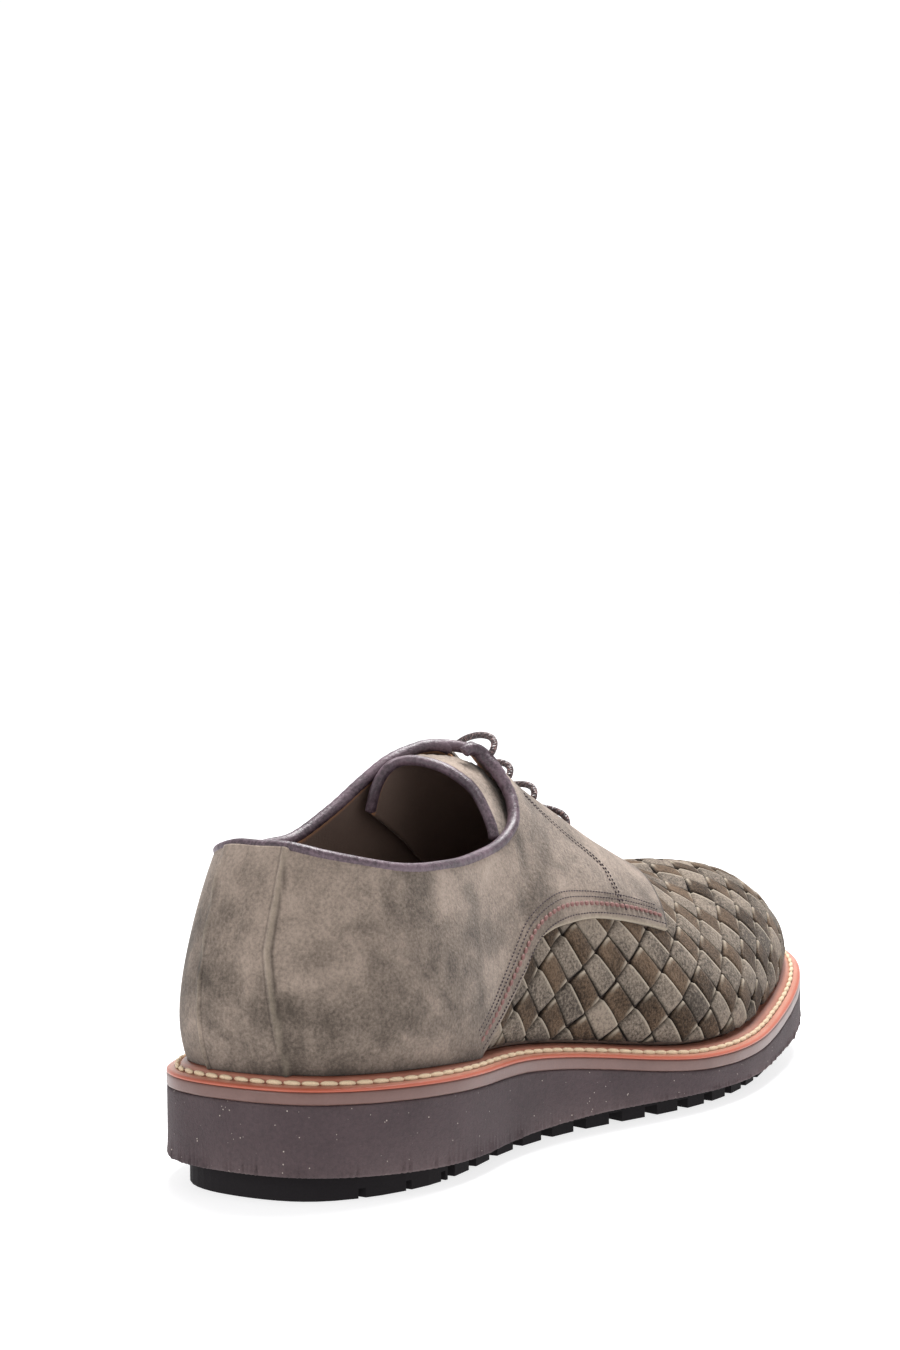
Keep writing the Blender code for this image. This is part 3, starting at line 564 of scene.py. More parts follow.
def welt_leather(value, place):
    """Red-brown leather with a darker, redder outer edge and painted shade beside its stitches and under the
    upper.
    """
    grain = noise(value, place, 0.0012, 3, 0.6)
    colour = noise(value, place, 0.010, 3, 0.5).mix((0.330, 0.105, 0.060), (0.560, 0.250, 0.180))
    colour = (attribute(value, "edge") * 0.75).mix(colour, (0.400, 0.060, 0.020))
    # Painted shade in the dip beside the stitches and where the welt goes under the upper
    colour = (attribute(value, "dark") * 0.65).mix(colour, (0.095, 0.022, 0.010))
    return {"Base Color": colour, "Roughness": 0.28 + grain * 0.16, "height": grain * 0.00006}


def midsole_leather(value, place):
    """A burnished brown edge, mottled by two noises."""
    grain = noise(value, place, 0.0010, 3, 0.6)
    along = noise(value, place, 0.008, 3, 0.5)
    colour = (along * 0.7 + grain * 0.3).mix((0.095, 0.042, 0.032), (0.190, 0.098, 0.084))
    return {"Base Color": colour, "Roughness": 0.30 + along * 0.15, "height": grain * 0.00005}


def foam_rubber(value, place):
    """Micro-cellular foam with a fine pitted face, paler patches low down and a few pale specks."""
    pits = noise(value, place, 0.0011, 4, 0.75)
    wide = noise(value, place, 0.022, 4, 0.6)
    specks = value.made("TexVoronoi", {"Vector": place, "Scale": 700.0}).above(0.16, 0.10)
    rare = noise(value, place, 0.0025, 1, 0.5).above(0.56, 0.62)
    colour = (wide * 0.9 + pits * 1.3 - 0.6).mix((0.028, 0.017, 0.020), (0.088, 0.056, 0.062))
    colour = (attribute(value, "low") * (0.2 + pits)).mix(colour, (0.160, 0.112, 0.114))
    colour = (specks * rare).mix(colour, (0.50, 0.43, 0.38))
    return {"Base Color": colour, "Roughness": 0.60 + pits * 0.25, "height": pits * 0.00055}


def tread_rubber(value, place):
    """Nearly black rubber with fine pits."""
    pits = noise(value, place, 0.0008, 3, 0.7)
    colour = pits.mix((0.004, 0.003, 0.004), (0.014, 0.011, 0.013))
    return {"Base Color": colour, "Roughness": 0.72 + pits * 0.25, "height": pits * 0.00012}


def waxed_cord(value, place):
    """A round plaited lace, dark with red and pale flecks. The plait's height is two sines multiplied."""
    around = attribute(value, "around")
    along = attribute(value, "along")
    plait = (along * 5.2).maths("SINE") * (along * 2.6 + around * 3.0).maths("SINE")
    flecks = noise(value, place, 0.0008, 2, 0.6).above(0.50, 0.72)
    colour = flecks.mix((0.040, 0.020, 0.022), (0.330, 0.200, 0.185))
    return {"Base Color": colour, "Roughness": 0.42 + plait * 0.08, "height": plait * 0.00014}


def thread(colour):
    """Stitching thread of one colour, its fibres from about half as bright up to the colour itself."""

    def build(value, place):
        fibres = noise(value, place, 0.0004, 2, 0.6)
        dark = tuple(channel * 0.55 for channel in colour)
        return {"Base Color": fibres.mix(dark, colour), "height": fibres * 0.00008}

    return build


THREAD_COLOURS = {"cream": (0.86, 0.66, 0.44), "dark": (0.050, 0.028, 0.036), "red": (0.270, 0.125, 0.110)}
SUEDE_FINISH = {"Roughness": 0.95, "Specular_IOR_Level": 0.2, "Sheen_Weight": 0.12, "Sheen_Roughness": 0.5}
STRIP_FINISH = {"Roughness": 0.93, "Specular_IOR_Level": 0.15, "Sheen_Weight": 0.06, "Sheen_Roughness": 0.5}
SKINS = {
    "suede": material("suede", suede, **SUEDE_FINISH),
    "weave": material("weave", weave, **STRIP_FINISH),
    "binding": material("binding", binding_leather),
    "lining": material("lining", lining_leather),
    "welt": material("welt", welt_leather, Coat_Weight=0.25, Coat_Roughness=0.25),
    "midsole": material("midsole", midsole_leather, Coat_Weight=0.2, Coat_Roughness=0.3),
    "foam": material("foam", foam_rubber),
    "rubber": material("rubber", tread_rubber, Specular_IOR_Level=0.25),
    "lace": material("lace", waxed_cord),
}
for kind, shade in THREAD_COLOURS.items():
    SKINS[kind + " thread"] = material(kind + " thread", thread(shade), Roughness=0.6)


# Meshes
def piece(name, points, faces, skin, slot, **values):
    """A piece of the shoe from points in the last's frame, with a value at each point for every attribute."""
    points = np.asarray(points, float).reshape(-1, 3) - (*CENTRE, 0)
    faces = np.asarray(faces, np.int32)
    mesh = bpy.data.meshes.new(name)
    mesh.vertices.add(len(points))
    mesh.vertices.foreach_set("co", points.ravel().astype(np.float32))
    mesh.loops.add(faces.size)
    mesh.loops.foreach_set("vertex_index", faces.ravel())
    mesh.polygons.add(len(faces))
    mesh.polygons.foreach_set("loop_start", np.arange(len(faces), dtype=np.int32) * faces.shape[1])
    mesh.polygons.foreach_set("loop_total", np.full(len(faces), faces.shape[1], np.int32))
    for key, given in values.items():
        layer = mesh.attributes.new(key, "FLOAT", "POINT")
        layer.data.foreach_set("value", np.asarray(given, np.float32).ravel())
    mesh.update(calc_edges=True)
    mesh.validate()
    mesh.shade_smooth()
    mesh.materials.append(SKINS[skin])
    made = bpy.data.objects.new(name, mesh)
    bpy.context.scene.collection.objects.link(made)
    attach(made, "root")
    return made


def grid_faces(rows, columns, closed=False):
    """Quads between a grid's points, numbered by rows. A closed grid joins its last column to the first."""
    across = np.arange(columns if closed else columns - 1)
    row, column = np.meshgrid(np.arange(rows - 1) * columns, across, indexing="ij")
    after = (column + 1) % columns
    faces = [row + column, row + after, row + columns + after, row + columns + column]
    return np.stack(faces, axis=-1).reshape(-1, 4)


def rim_walls(faces, count):
    """The quads that join the open rim of a sheet to the same rim of its copy, count points further on."""
    edges = np.concatenate([faces[:, [k, (k + 1) % 4]] for k in range(4)])
    keys = edges[:, 0].astype(np.int64) * count + edges[:, 1]
    back = edges[:, 1].astype(np.int64) * count + edges[:, 0]
    rim = edges[~np.isin(keys, back)]
    return np.column_stack([rim[:, 1], rim[:, 0], rim[:, 0] + count, rim[:, 1] + count])


def thick(outer, inner, faces):
    """A closed wall between two sheets of points with the same faces."""
    outer, inner = outer.reshape(-1, 3), inner.reshape(-1, 3)
    walls = rim_walls(faces, len(outer))
    return np.concatenate([outer, inner]), np.concatenate([faces, faces[:, ::-1] + len(outer), walls])


# Paths
def distances(points):
    """How far each point lies along its path: the sum of the straight steps before it."""
    return np.concatenate([[0], np.cumsum(np.linalg.norm(np.diff(points, axis=0), axis=1))])


def at_distances(wanted, reach, rows):
    """The rows, one at each distance in reach, read off at the wanted distances by straight lines."""
    return np.column_stack([np.interp(wanted, reach, column) for column in rows.T])


def even(points, count):
    """The path again, with count points at even distances."""
    reach = distances(points)
    return at_distances(np.linspace(0, reach[-1], count), reach, points)


def spaced(points, pitch):
    """Places every pitch along a path, and the path's run over half a pitch there."""
    reach = distances(points)
    wanted = np.arange(pitch / 2, reach[-1], pitch)
    ahead = at_distances(wanted + pitch / 4, reach, points)
    return at_distances(wanted, reach, points), ahead - at_distances(wanted - pitch / 4, reach, points)


def curve_through(places, count, fine):
    """A smooth curve through places in millimetres: flow() of each coordinate in fine steps, made even."""
    knots = numbered((np.array(places) / 1000).tolist())
    steps = np.linspace(0, len(places) - 1, fine)
    return even(np.column_stack([flow(steps, knots, column) for column in (1, 2, 3)]), count)


def frame_along(along, out):
    """Three unit vectors for each point: along, the direction out made square to it, and across both."""
    along = unit(along)
    out = unit(out - along * (out * along).sum(axis=1, keepdims=True))
    return along, out, np.cross(along, out)


def circle(around):
    """Angles of evenly spaced points round a circle."""
    return np.arange(around) * 2 * math.pi / around


# Shares of a cord's girth at its last point and at the one before it
SWEEP_ENDS = (0.02, 0.7)


def sweep(name, path, out, wide, tall, skin, around=14):
    """A cord or rolled edge: at each point of its path an oval, wide * cos(turn) by tall * sin(turn).

    Both sizes shrink to SWEEP_ENDS at the last two points of each end.
    """
    along, out, across = frame_along(np.gradient(path, axis=0), out)
    turn = circle(around)
    size = np.ones(len(path))
    size[:2] = SWEEP_ENDS
    size[-2:] = SWEEP_ENDS[::-1]
    wide, tall = size * wide, size * tall
    points = path[:, None] + across[:, None] * (np.cos(turn) * wide[:, None])[..., None]
    points = points + out[:, None] * (np.sin(turn) * tall[:, None])[..., None]
    values = {"along": np.repeat(distances(path) * 1000, around), "around": np.tile(turn, len(path))}
    faces = grid_faces(len(path), around, closed=True)[:, ::-1]
    return piece(name, points, faces, skin, skin, **values)


# A stitch from end to end: reach as a share of its half length, and girth as a share of its half width
CAPSULE = np.array([(-1.0, 0.02), (-0.86, 0.62), (-0.4, 1.0), (0.4, 1.0), (0.86, 0.62), (1.0, 0.02)])


def capsules(name, middles, along, out, sizes, skin, around=6):
    """Small stitches: CAPSULE's rings at each middle, by half a stitch's length, width and height."""
    along, out, across = frame_along(along, out)
    half, wide, tall = sizes
    reach, girth = CAPSULE.T
    turn = circle(around)
    shape_along = np.repeat(reach, around)
    shape_across = (girth[:, None] * np.cos(turn)).ravel()
    shape_out = (girth[:, None] * np.sin(turn)).ravel()
    points = middles[:, None] + along[:, None] * (shape_along * half)[:, None]
    points = points + across[:, None] * (shape_across * wide)[:, None]
    points = points + out[:, None] * (shape_out * tall)[:, None]
    faces = grid_faces(len(reach), around, closed=True)
    faces = (np.arange(len(middles))[:, None, None] * len(reach) * around + faces).reshape(-1, 4)
    return piece(name, points, faces, skin, "lace")


# Sole
RING_STEPS = 60
RING = np.arange(len(POINTS) * RING_STEPS) / RING_STEPS
RING_PLACE, RING_HEADING = outline(RING)
RING_INWARD = np.stack([-RING_HEADING[:, 1], RING_HEADING[:, 0]], axis=-1)
# The inset of the insole's seat under the upper, and the hair's breadth between the welt and the edge layer
SEAT = 0.0104
WELT_DROP = 0.0001

# Profiles of the layers: inset from the sole's edge, rise over the face that the layer is measured from, and
# share of the layer's uneven line
FOAM_TOP_EDGE = ((0.0030, -0.0001, 0), (0.0007, -0.0001, 0), (0.0002, -0.0005, 0))
FOAM_FLOOR_EDGE = ((0.0003, 0.0003, 1), (0.0009, 0.0, 1), (0.0040, 0.0, 0))
MIDSOLE_PROFILE = (
    (SEAT, WELT_RISE, 0),
    (SEAT, 0.0, 0),
    (0.0040, 0.0, 1),
    (0.0008, 0.0, 1),
    (0.0002, -0.00025, 1),
    (0.0, -0.0007, 1),
    (0.00012, -0.0018, 1),
    (0.0, -0.0029, 1),
    (0.0002, -0.00335, 1),
    (0.0007, -0.0036, 1),
    (0.0040, -0.0036, 1),
    (SEAT, -0.0036, 0),
)
INSOLE_PROFILE = (
    (SEAT, 0.0, 0),
    (0.0084, 0.0, 0),
    (0.0084, 0.0026, 0),
    (0.0090, INSOLE_THICKNESS, 0),
    (0.0110, INSOLE_THICKNESS, 0),
)

# The welt's section: inset, rise over the welt's edge, whether painted as an edge, whether darkened as painted
# shade (beside the stitches and under the upper)
WELT_PROFILE = (
    (0.0004, -0.0002, 1, 0),
    (0.00005, 0.0, 1, 0),
    (0.0001, 0.0004, 1, 0),
    (0.0005, 0.0007, 1, 0),
    (0.0012, 0.0009, 0, 0),
    (0.0020, 0.0012, 0, 0),
    (0.0024, 0.0011, 0, 1),
    (0.0030, 0.0012, 0, 0),
    (0.0036, 0.0016, 0, 0),
    (0.0044, 0.0023, 0, 0),
    (0.0052, 0.0029, 0, 1),
    (0.0060, 0.0031, 0, 1),
    (0.0075, 0.0031, 0, 0),
    (0.0100, 0.0029, 0, 0),
    (0.0100, -0.0002, 0, 0),
)


def ring(inset, height, wobble=0.0):
    """A loop of points round the sole, inset + wobble inside its edge, at height(x) of the edge beside it."""
    reach = np.broadcast_to(inset + wobble, len(RING))[:, None]
    return np.column_stack([RING_PLACE + RING_INWARD * reach, height(RING_PLACE[:, 0])])


def at(height, rise):
    """height(x) + rise, as a function of x."""
    return lambda x: height(x) + rise


def profile_loops(profile, height, wobble=0.0):
    """A ring for each row of a profile: its inset, its rise over height(x) and its share of the wobble."""
    return [ring(inset, at(height, rise), share * wobble) for inset, rise, share in profile]


def wander(u, waves, size, key):
    """A smooth random line round the sole: a sum of sines of whole numbers of waves."""
    source = np.random.default_rng(key)
    total = np.zeros(np.shape(u))
    for count in range(waves // 2, waves):
        total += np.sin(2 * math.pi * (count * u / len(POINTS) + source.random())) * source.normal()
    return total * size / math.sqrt(max(waves / 2, 1))


def ladder(first, count):
    """The flat end of a loop: rungs from each point of the lateral side to its partner on the medial side."""
    k = np.arange(count // 2)
    return first + np.column_stack([k, k + 1, (count - k - 1) % count, (count - k) % count])


def sole_layer(name, loops, skin, ends=True, **values):
    """A piece from loops of points, one over the other, with flat ends on the first and the last."""
    count = len(RING)
    faces = [grid_faces(len(loops), count, closed=True)]
    if ends:
        faces += [ladder(0, count)[:, ::-1], ladder((len(loops) - 1) * count, count)]
    return piece(name, np.concatenate(loops), np.concatenate(faces), skin, skin, **values)


def foam_top(x):
    """Height of the foam's top, under the welt and the edge layer."""
    return welt_edge(x) - WELT_EDGE - MIDSOLE_EDGE


def make_foam():
    """The wedge's side: straight from its top edge to its floor edge by the loop's share, and ragged below.

    The ragged line fades in with the eighth power of the share, and the paler colour low down (low) with its
    cube.
    """
    ragged = wander(RING, 560, 0.00032, 1)
    uneven = wander(RING, 40, 0.00008, 3)
    shares = np.linspace(0, 1, 8)
    loops = profile_loops(FOAM_TOP_EDGE, foam_top)
    for share in shares:

        def height(x, share=share):
            return (foam_top(x) - 0.0010) * (1 - share) + (foam_underside(x) + 0.0008) * share

        loops.append(ring(0.0001, height, uneven + ragged * share**8))
    loops += profile_loops(FOAM_FLOOR_EDGE, foam_underside, ragged)
    low = np.concatenate([(0.3, 0.3, 0.3), shares**3 * 0.7, (1.0, 1.0, 0.0)])[:, None]
    low = low * (0.55 + 0.45 * np.clip(wander(RING, 14, 1.0, 8), -1, 1))
    made = sole_layer("foam_side", loops[::-1], "foam", low=low[::-1])
    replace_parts(made, "foam_wedge")


def make_midsole():
    """The edge layer: its profile carried round the sole, a hair under the welt and up inside it."""
    loops = profile_loops(MIDSOLE_PROFILE, at(welt_edge, -WELT_DROP), wander(RING, 60, 0.00005, 5))
    made = sole_layer("midsole_edge", loops[::-1], "midsole")
    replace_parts(made, "midsole")


def make_welt():
    """The welt's section carried round the sole and closed by its own first loop."""
    rows = (*WELT_PROFILE, WELT_PROFILE[0])
    loops = [ring(inset, at(welt_edge, rise)) for inset, rise, painted, painted_shade in rows]
    painted, painted_shade = (np.repeat([row[column] for row in rows], len(RING)) for column in (2, 3))
    made = sole_layer("welt_leather", loops, "welt", ends=False, edge=painted, dark=painted_shade)
    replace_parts(made, "welt")


def make_insole():
    """The sock: its profile carried round the sole, on the edge layer."""
    loops = profile_loops(INSOLE_PROFILE, at(at(welt_edge, WELT_RISE), FIT))
    made = sole_layer("sock", loops, "lining", edge=np.zeros(len(loops) * len(RING)))
    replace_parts(made, "insole")


# The row on the welt: inset and rise of its path, and each stitch's half length, half width and half height
WELT_ROW = (0.0030, 0.0016)
WELT_STITCH = (0.00238, 0.00068, 0.00075)


def make_welt_stitches():
    """A stitch every STITCH along a ring, moved sideways at random and turned a little across the row."""
    inset, rise = WELT_ROW
    path = ring(inset, at(welt_edge, rise))
    middles, heading = spaced(np.concatenate([path, path[:1]]), STITCH)
    side = unit(np.cross(heading, (0, 0, 1)))
    middles = middles + side * rng.normal(0, 0.00006, len(middles))[:, None]
    up = np.tile((0.0, 0.0, 1.0), (len(middles), 1))
    capsules("welt_stitches", middles, unit(heading) + side * 0.10, up, WELT_STITCH, "cream thread", 8)


# Quarters, along their ribs from the back of the heel (0) to the front edge of the facing (17)
# Between which ribs they rise over the vamp at their curved edge, and over their whole height at the front
LAP_RIBS = (4, 6)
FRONT_RIBS = (13, 16)
# Stretches of steps along the ribs: first, last, count
STEP_STRETCHES = ((0, 0.2, 4), (0.22, 0.98, 64), (1.05, 16.4, 116), (16.5, 17, 16))
QUARTER_STEPS = np.concatenate([np.linspace(*stretch) for stretch in STEP_STRETCHES])
QUARTER_SHARE = np.concatenate([[0, 0.004, 0.010], np.linspace(0.02, 0.985, 44), [0.993, 1.0]])
# The heel strip's seam on each side: rise, station
LATERAL_SEAM = ((0.0, 0.60), (0.3, 0.36), (0.56, 0.46))
MEDIAL_SEAM = ((0.0, 0.42), (0.56, 0.66))
# How long a station is at the heel, and how far the heel strip, its seam and the pressed edge stand up or in
STATION_SPAN = 0.027
HEEL_STRIP_STEP = 0.0009
SEAM_RIDGE = 0.0008
PRESSED_EDGE = 0.0006


def smooth(x):
    """0 below 0, 1 above 1, and 3 x squared - 2 x cubed between."""
    x = np.clip(x, 0, 1)
    return x * x * (3 - 2 * x)


def bell(x, width):
    """1 at 0, falling on both sides as exp(-(x / width) squared)."""
    return np.exp(-((x / width) ** 2))


def over_vamp(order, share):
    """How far the vamp lifts the quarters: low on the ribs past LAP_RIBS, all the way up at the front."""
    low = np.clip(1.3 - 2.5 * share, 0, 1)
    front, lap = (np.clip((order - a) / (b - a), 0, 1) for a, b in (FRONT_RIBS, LAP_RIBS))
    return QUARTER_RAISE * smooth(lap * np.maximum(low, front))


def strip_seam(side, rise):
    """The station of the heel strip's seam at a rise, by straight lines."""
    lateral, medial = (np.interp(rise, *zip(*seam)) for seam in (LATERAL_SEAM, MEDIAL_SEAM))
    return np.where(side < 0, lateral, medial)


def creases(side, station, rise):
    """Soft dents of the worn quarters: two sines multiplied, and a bell-shaped fold by the collar's turn."""
    sway = 0.00022 * np.sin(station * 3.1 + rise * 5.0) * np.sin(rise * 9.0 - station * 1.7 + side)
    return sway - 0.0006 * bell(station - 2.9, 0.35) * bell(rise - 0.42, 0.10)


def rib_place(table, order, share):
    """Station and rise at a share of the straight way from a rib's foot to its top. flow() joins the ribs."""
    rows = numbered(table)
    foot, low, top, high = (flow(order, rows, column)[:, None] for column in range(1, 5))
    low = np.maximum(low, 0)
    return foot + (top - foot) * share, low + (high - low) * share


def quarter_marks(side, order, station, rise):
    """Lift, pale edge and darkness of the outer suede.

    The heel strip is a smooth step across its seam with a narrow bell on it, pale as a painted highlight,
    between two dark bells of painted shadow. The curved edge over the vamp is pressed down and pale as a cut
    edge, and the foot over the welt is darkened by painted shade, both as exp(-distance / length).
    """
    away = (station - strip_seam(side, rise)) * STATION_SPAN
    foot = (rise - rise[:, :1]) * half_girth(np.full(station.shape, side), station)
    ridge = bell(away, 0.0008)
    over = order > LAP_RIBS[1]
    lift = HEEL_STRIP_STEP * smooth(0.5 - away / 0.0012) + SEAM_RIDGE * ridge + creases(side, station, rise)
    lift = lift - PRESSED_EDGE * np.exp(-foot / 0.0009) * over
    # Pale: the cut edge over the vamp, and a painted highlight on the seam's ridge
    pale = 0.9 * np.exp(-foot / 0.0006) * over + 0.3 * ridge
    # Dark: painted shadow beside the seam, painted shade at the foot over the welt, and edge paint at the
    # facing's front
    dark = 0.45 * bell(away + 0.0016, 0.0003) + 0.65 * bell(away - 0.0011, 0.0005)
    dark = dark + 0.8 * np.exp(-foot / 0.0025) * (order < LAP_RIBS[1])
    dark = dark + 0.9 * smooth((order - 16.80) / 0.10) * (QUARTER_SHARE > 0.015)
    return lift, pale, np.clip(dark, 0, 1)


def sides_of(steps):
    """Each side, its ribs and its steps, for a line from the lateral front round the heel."""
    return (-1.0, LATERAL_RIBS, steps[::-1]), (1.0, MEDIAL_RIBS, steps[1:])


def quarter_sheet(lift, marked=False):
    """Points, pale edge and darkness of the quarters at a lift over the last."""
    parts = []
    for side, table, steps in sides_of(QUARTER_STEPS):
        station, rise = rib_place(table, steps, QUARTER_SHARE)
        order = steps[:, None]
        marks = quarter_marks(side, order, station, rise) if marked else np.zeros((3, *station.shape))
        raised = lift + over_vamp(order, QUARTER_SHARE) + marks[0]
        parts.append((quarter_skin(side, station, rise, raised), marks[1], marks[2]))
    return [np.concatenate(part) for part in zip(*parts)]


def make_quarters():
    """The suede, as a wall between the marked sheet and a plain one SUEDE further in."""
    outer, pale, dark = quarter_sheet(0.0, marked=True)
    points, faces = thick(outer, quarter_sheet(-SUEDE)[0], grid_faces(*outer.shape[:2]))
    made = piece("quarters", points, faces, "suede", "suede", edge=(pale, pale), dark=(dark, dark))
    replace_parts(made, "upper")


def make_lining():
    """The lining inside the suede, with a pale cut edge just inside the collar."""
    outer, inner = quarter_sheet(-SUEDE - 0.0002)[0], quarter_sheet(-QUARTER_WALL)[0]
    points, faces = thick(outer, inner, grid_faces(*outer.shape[:2]))
    pale = np.tile(smooth((QUARTER_SHARE - 0.976) / 0.015), 2 * len(outer))
    piece("lining", points, faces, "lining", "lining", edge=pale)


# Woven vamp, on the sheet
# A crossing's place on the ridge and the weave's ends along the shoe, as shares of LENGTH, its reach to each
# side as a share of BALL_WIDTH, how far it goes under the quarters, how many strips have their own tone, and
# the rise that tiles are held to at the feather line
WEAVE_ORIGIN = 0.9
WEAVE_X = (0.1, 1.5)
WEAVE_Y = 1.7
LAP = 0.008
STRIPS = 4000
FOOT_RISE = 0.002
# A tile along and across its strip, as shares of half a strip. The first and last rows across are its skirt.
TILE_ALONG = np.array([-1.30, -1.12, -0.98, -0.84, -0.6, -0.3, 0.0, 0.3, 0.6, 0.84, 0.98, 1.12, 1.30])
TILE_ACROSS = np.array([-1.0, -1.0, -0.93, -0.75, -0.4, 0.0, 0.4, 0.75, 0.93, 1.0, 1.0])
TILE_SKIRT = np.array([1.0, 0, 0, 0, 0, 0, 0, 0, 0, 0, 1.0])
TILE_WIDTH = 0.960
TILE_DIP = 0.0019


def vamp_edge():
    """The quarters' edge over the vamp on the sheet, from the lateral welt over the ridge to the medial."""
    lines = []
    for side, table in ((-1, LATERAL_RIBS), (1, MEDIAL_RIBS)):
        places = np.array([*(row[:2] for row in table[LAP_RIBS[1] :]), table[-1][2:]])
        lines.append(np.column_stack(to_sheet(np.full(len(places), side), places[:, 0], places[:, 1])))
    return np.concatenate([lines[0], lines[1][::-1]])


def behind_edge(x, y, line):
    """How far places on the sheet lie behind the line, and negative in front of it.

    The distance is to the nearest stretch of the line. A place is behind it when a ray along x crosses the
    line, closed by two corners behind the heel, an odd number of times.
    """
    closed = np.concatenate([line, [(-LENGTH, line[-1][1] * 3), (-LENGTH, line[0][1] * 3)]])
    inside = np.zeros(np.shape(x), bool)
    for (ax, ay), (bx, by) in zip(closed, np.roll(closed, -1, axis=0)):
        crosses = (ay > y) != (by > y)
        slope = (bx - ax) / (by - ay) if by != ay else 0.0
        inside ^= crosses & (x < ax + (y - ay) * slope)
    near = np.full(np.shape(x), np.inf)
    for (ax, ay), (bx, by) in zip(line[:-1], line[1:]):
        run = np.array([bx - ax, by - ay])
        t = np.clip(((x - ax) * run[0] + (y - ay) * run[1]) / (run @ run), 0, 1)
        near = np.minimum(near, np.hypot(x - ax - run[0] * t, y - ay - run[1] * t))
    return np.where(inside, near, -near)


def crossings(line):
    """The weave's crossings in front of the line: a square lattice turned 45 degrees, half a diamond apart.

    Gives their places on the sheet, which family of strips is on top, and the number of the strip.
    """
    cell = STRIP_DIAMOND / 2
    reach = int(LENGTH / cell)
    i, j = (k.ravel() for k in np.meshgrid(np.arange(-reach, reach), np.arange(-reach, reach), indexing="ij"))
    x = (i + j) * cell + WEAVE_ORIGIN * LENGTH
    y = (i - j) * cell
    near = (x > WEAVE_X[0] * LENGTH) & (x < WEAVE_X[1] * LENGTH) & (np.abs(y) < WEAVE_Y * BALL_WIDTH)
    i, j, x, y = i[near], j[near], x[near], y[near]
    kept = (from_sheet(x, y)[2] > -0.04) & (behind_edge(x, y, line) < LAP)
    i, j, x, y = i[kept], j[kept], x[kept], y[kept]
    over = (i + j) % 2 == 0
    return x, y, over, np.where(over, j, i + 1000) % STRIPS


def tile_values(spread):
    """One random value for each tile, ready for its grid of points."""
    return spread[:, None, None]


def make_weave():
    """Flat suede strips that pass over and under each other, as one tile a crossing.

    A tile lies along its strip, as wide as TILE_WIDTH - 0.05 a squared, where a goes along it from the
    crossing. It is level in the middle, with a crown of 1 - b squared across it, and dips by a smooth step
    under the crossing strips past both ends. Its two long sides are cut edges that stand free, one a little
    higher than the other.
    """
    line = vamp_edge()
    x, y, over, strip = crossings(line)
    count = len(x)
    tones = np.random.default_rng(3).uniform(0.35, 0.62, STRIPS)[strip] + rng.uniform(-0.12, 0.12, count)
    bow = tile_values(rng.uniform(-0.06, 0.10, count))
    shift = tile_values(rng.normal(0, 0.02, count))
    pucker = tile_values(np.clip(rng.normal(0.0001, 0.00022, count), -0.0001, 0.0007))
    tilt = tile_values(rng.normal(0.00022, 0.00012, count))
    half = STRIP_DIAMOND / 2 / math.sqrt(2)
    run_x = 1 / math.sqrt(2)
    run_y = tile_values(np.where(over, run_x, -run_x))
    x, y, over, tones = (tile_values(values) for values in (x, y, over, tones))
    a, b = np.meshgrid(TILE_ALONG, TILE_ACROSS, indexing="ij")
    across = (b * (TILE_WIDTH - 0.05 * a**2) + bow * (1 - a**2) + shift) * half
    px = x + run_x * (a * half) - run_y * across
    py = y + run_y * (a * half) + run_x * across
    side, station, low = from_sheet(px, py)
    foot_x, foot_y = to_sheet(side, station, np.full(px.shape, FOOT_RISE))
    px, py = np.where(low < FOOT_RISE, foot_x, px), np.where(low < FOOT_RISE, foot_y, py)
    dip = smooth((np.abs(a) - 0.82) / 0.38)
    crown = 0.00020 * (1 - b**2) + pucker * (1 - np.clip(np.abs(a), 0, 1) ** 2) * (1 - 0.6 * b**2)
    lift = -0.0002 + crown + tilt * b - TILE_DIP * dip - STRIP_THICKNESS * TILE_SKIRT
    lift = lift - 0.0013 * smooth(behind_edge(px, py, line) / 0.005) - 0.003 * smooth((0.012 - low) / 0.012)
    higher = ((px - x) + (py - y) * np.where(y < 0, 1.0, -1.0)) / (math.sqrt(2) * half)
    # Pale cut edges along the long sides, brightened toward the tile's upper side as a painted highlight
    cut = np.clip((np.abs(b) - 0.74) / 0.22, 0, 1) * (1 - TILE_SKIRT) * np.clip(0.30 + 1.1 * higher, 0.05, 1)
    # Painted shade: where the tile dips under the crossing strips, on its skirt in the gaps, on its lower side
    # and low on the foot
    shade = dip * 1.3 + 0.9 * TILE_SKIRT + 0.8 * smooth((-higher - 0.66) / 0.40)
    shade = np.clip(shade + 0.6 * smooth((0.05 - low) / 0.06), 0, 1)
    faces = (np.arange(count)[:, None, None] * a.size + grid_faces(*a.shape)).reshape(-1, 4)
    values = {"edge": cut, "dark": shade, "family": over + 0 * px, "tone": tones + 0 * px}
    made = piece("woven_vamp", sheet_skin(px, py, lift), faces, "weave", "suede", **values)
    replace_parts(made, "upper")


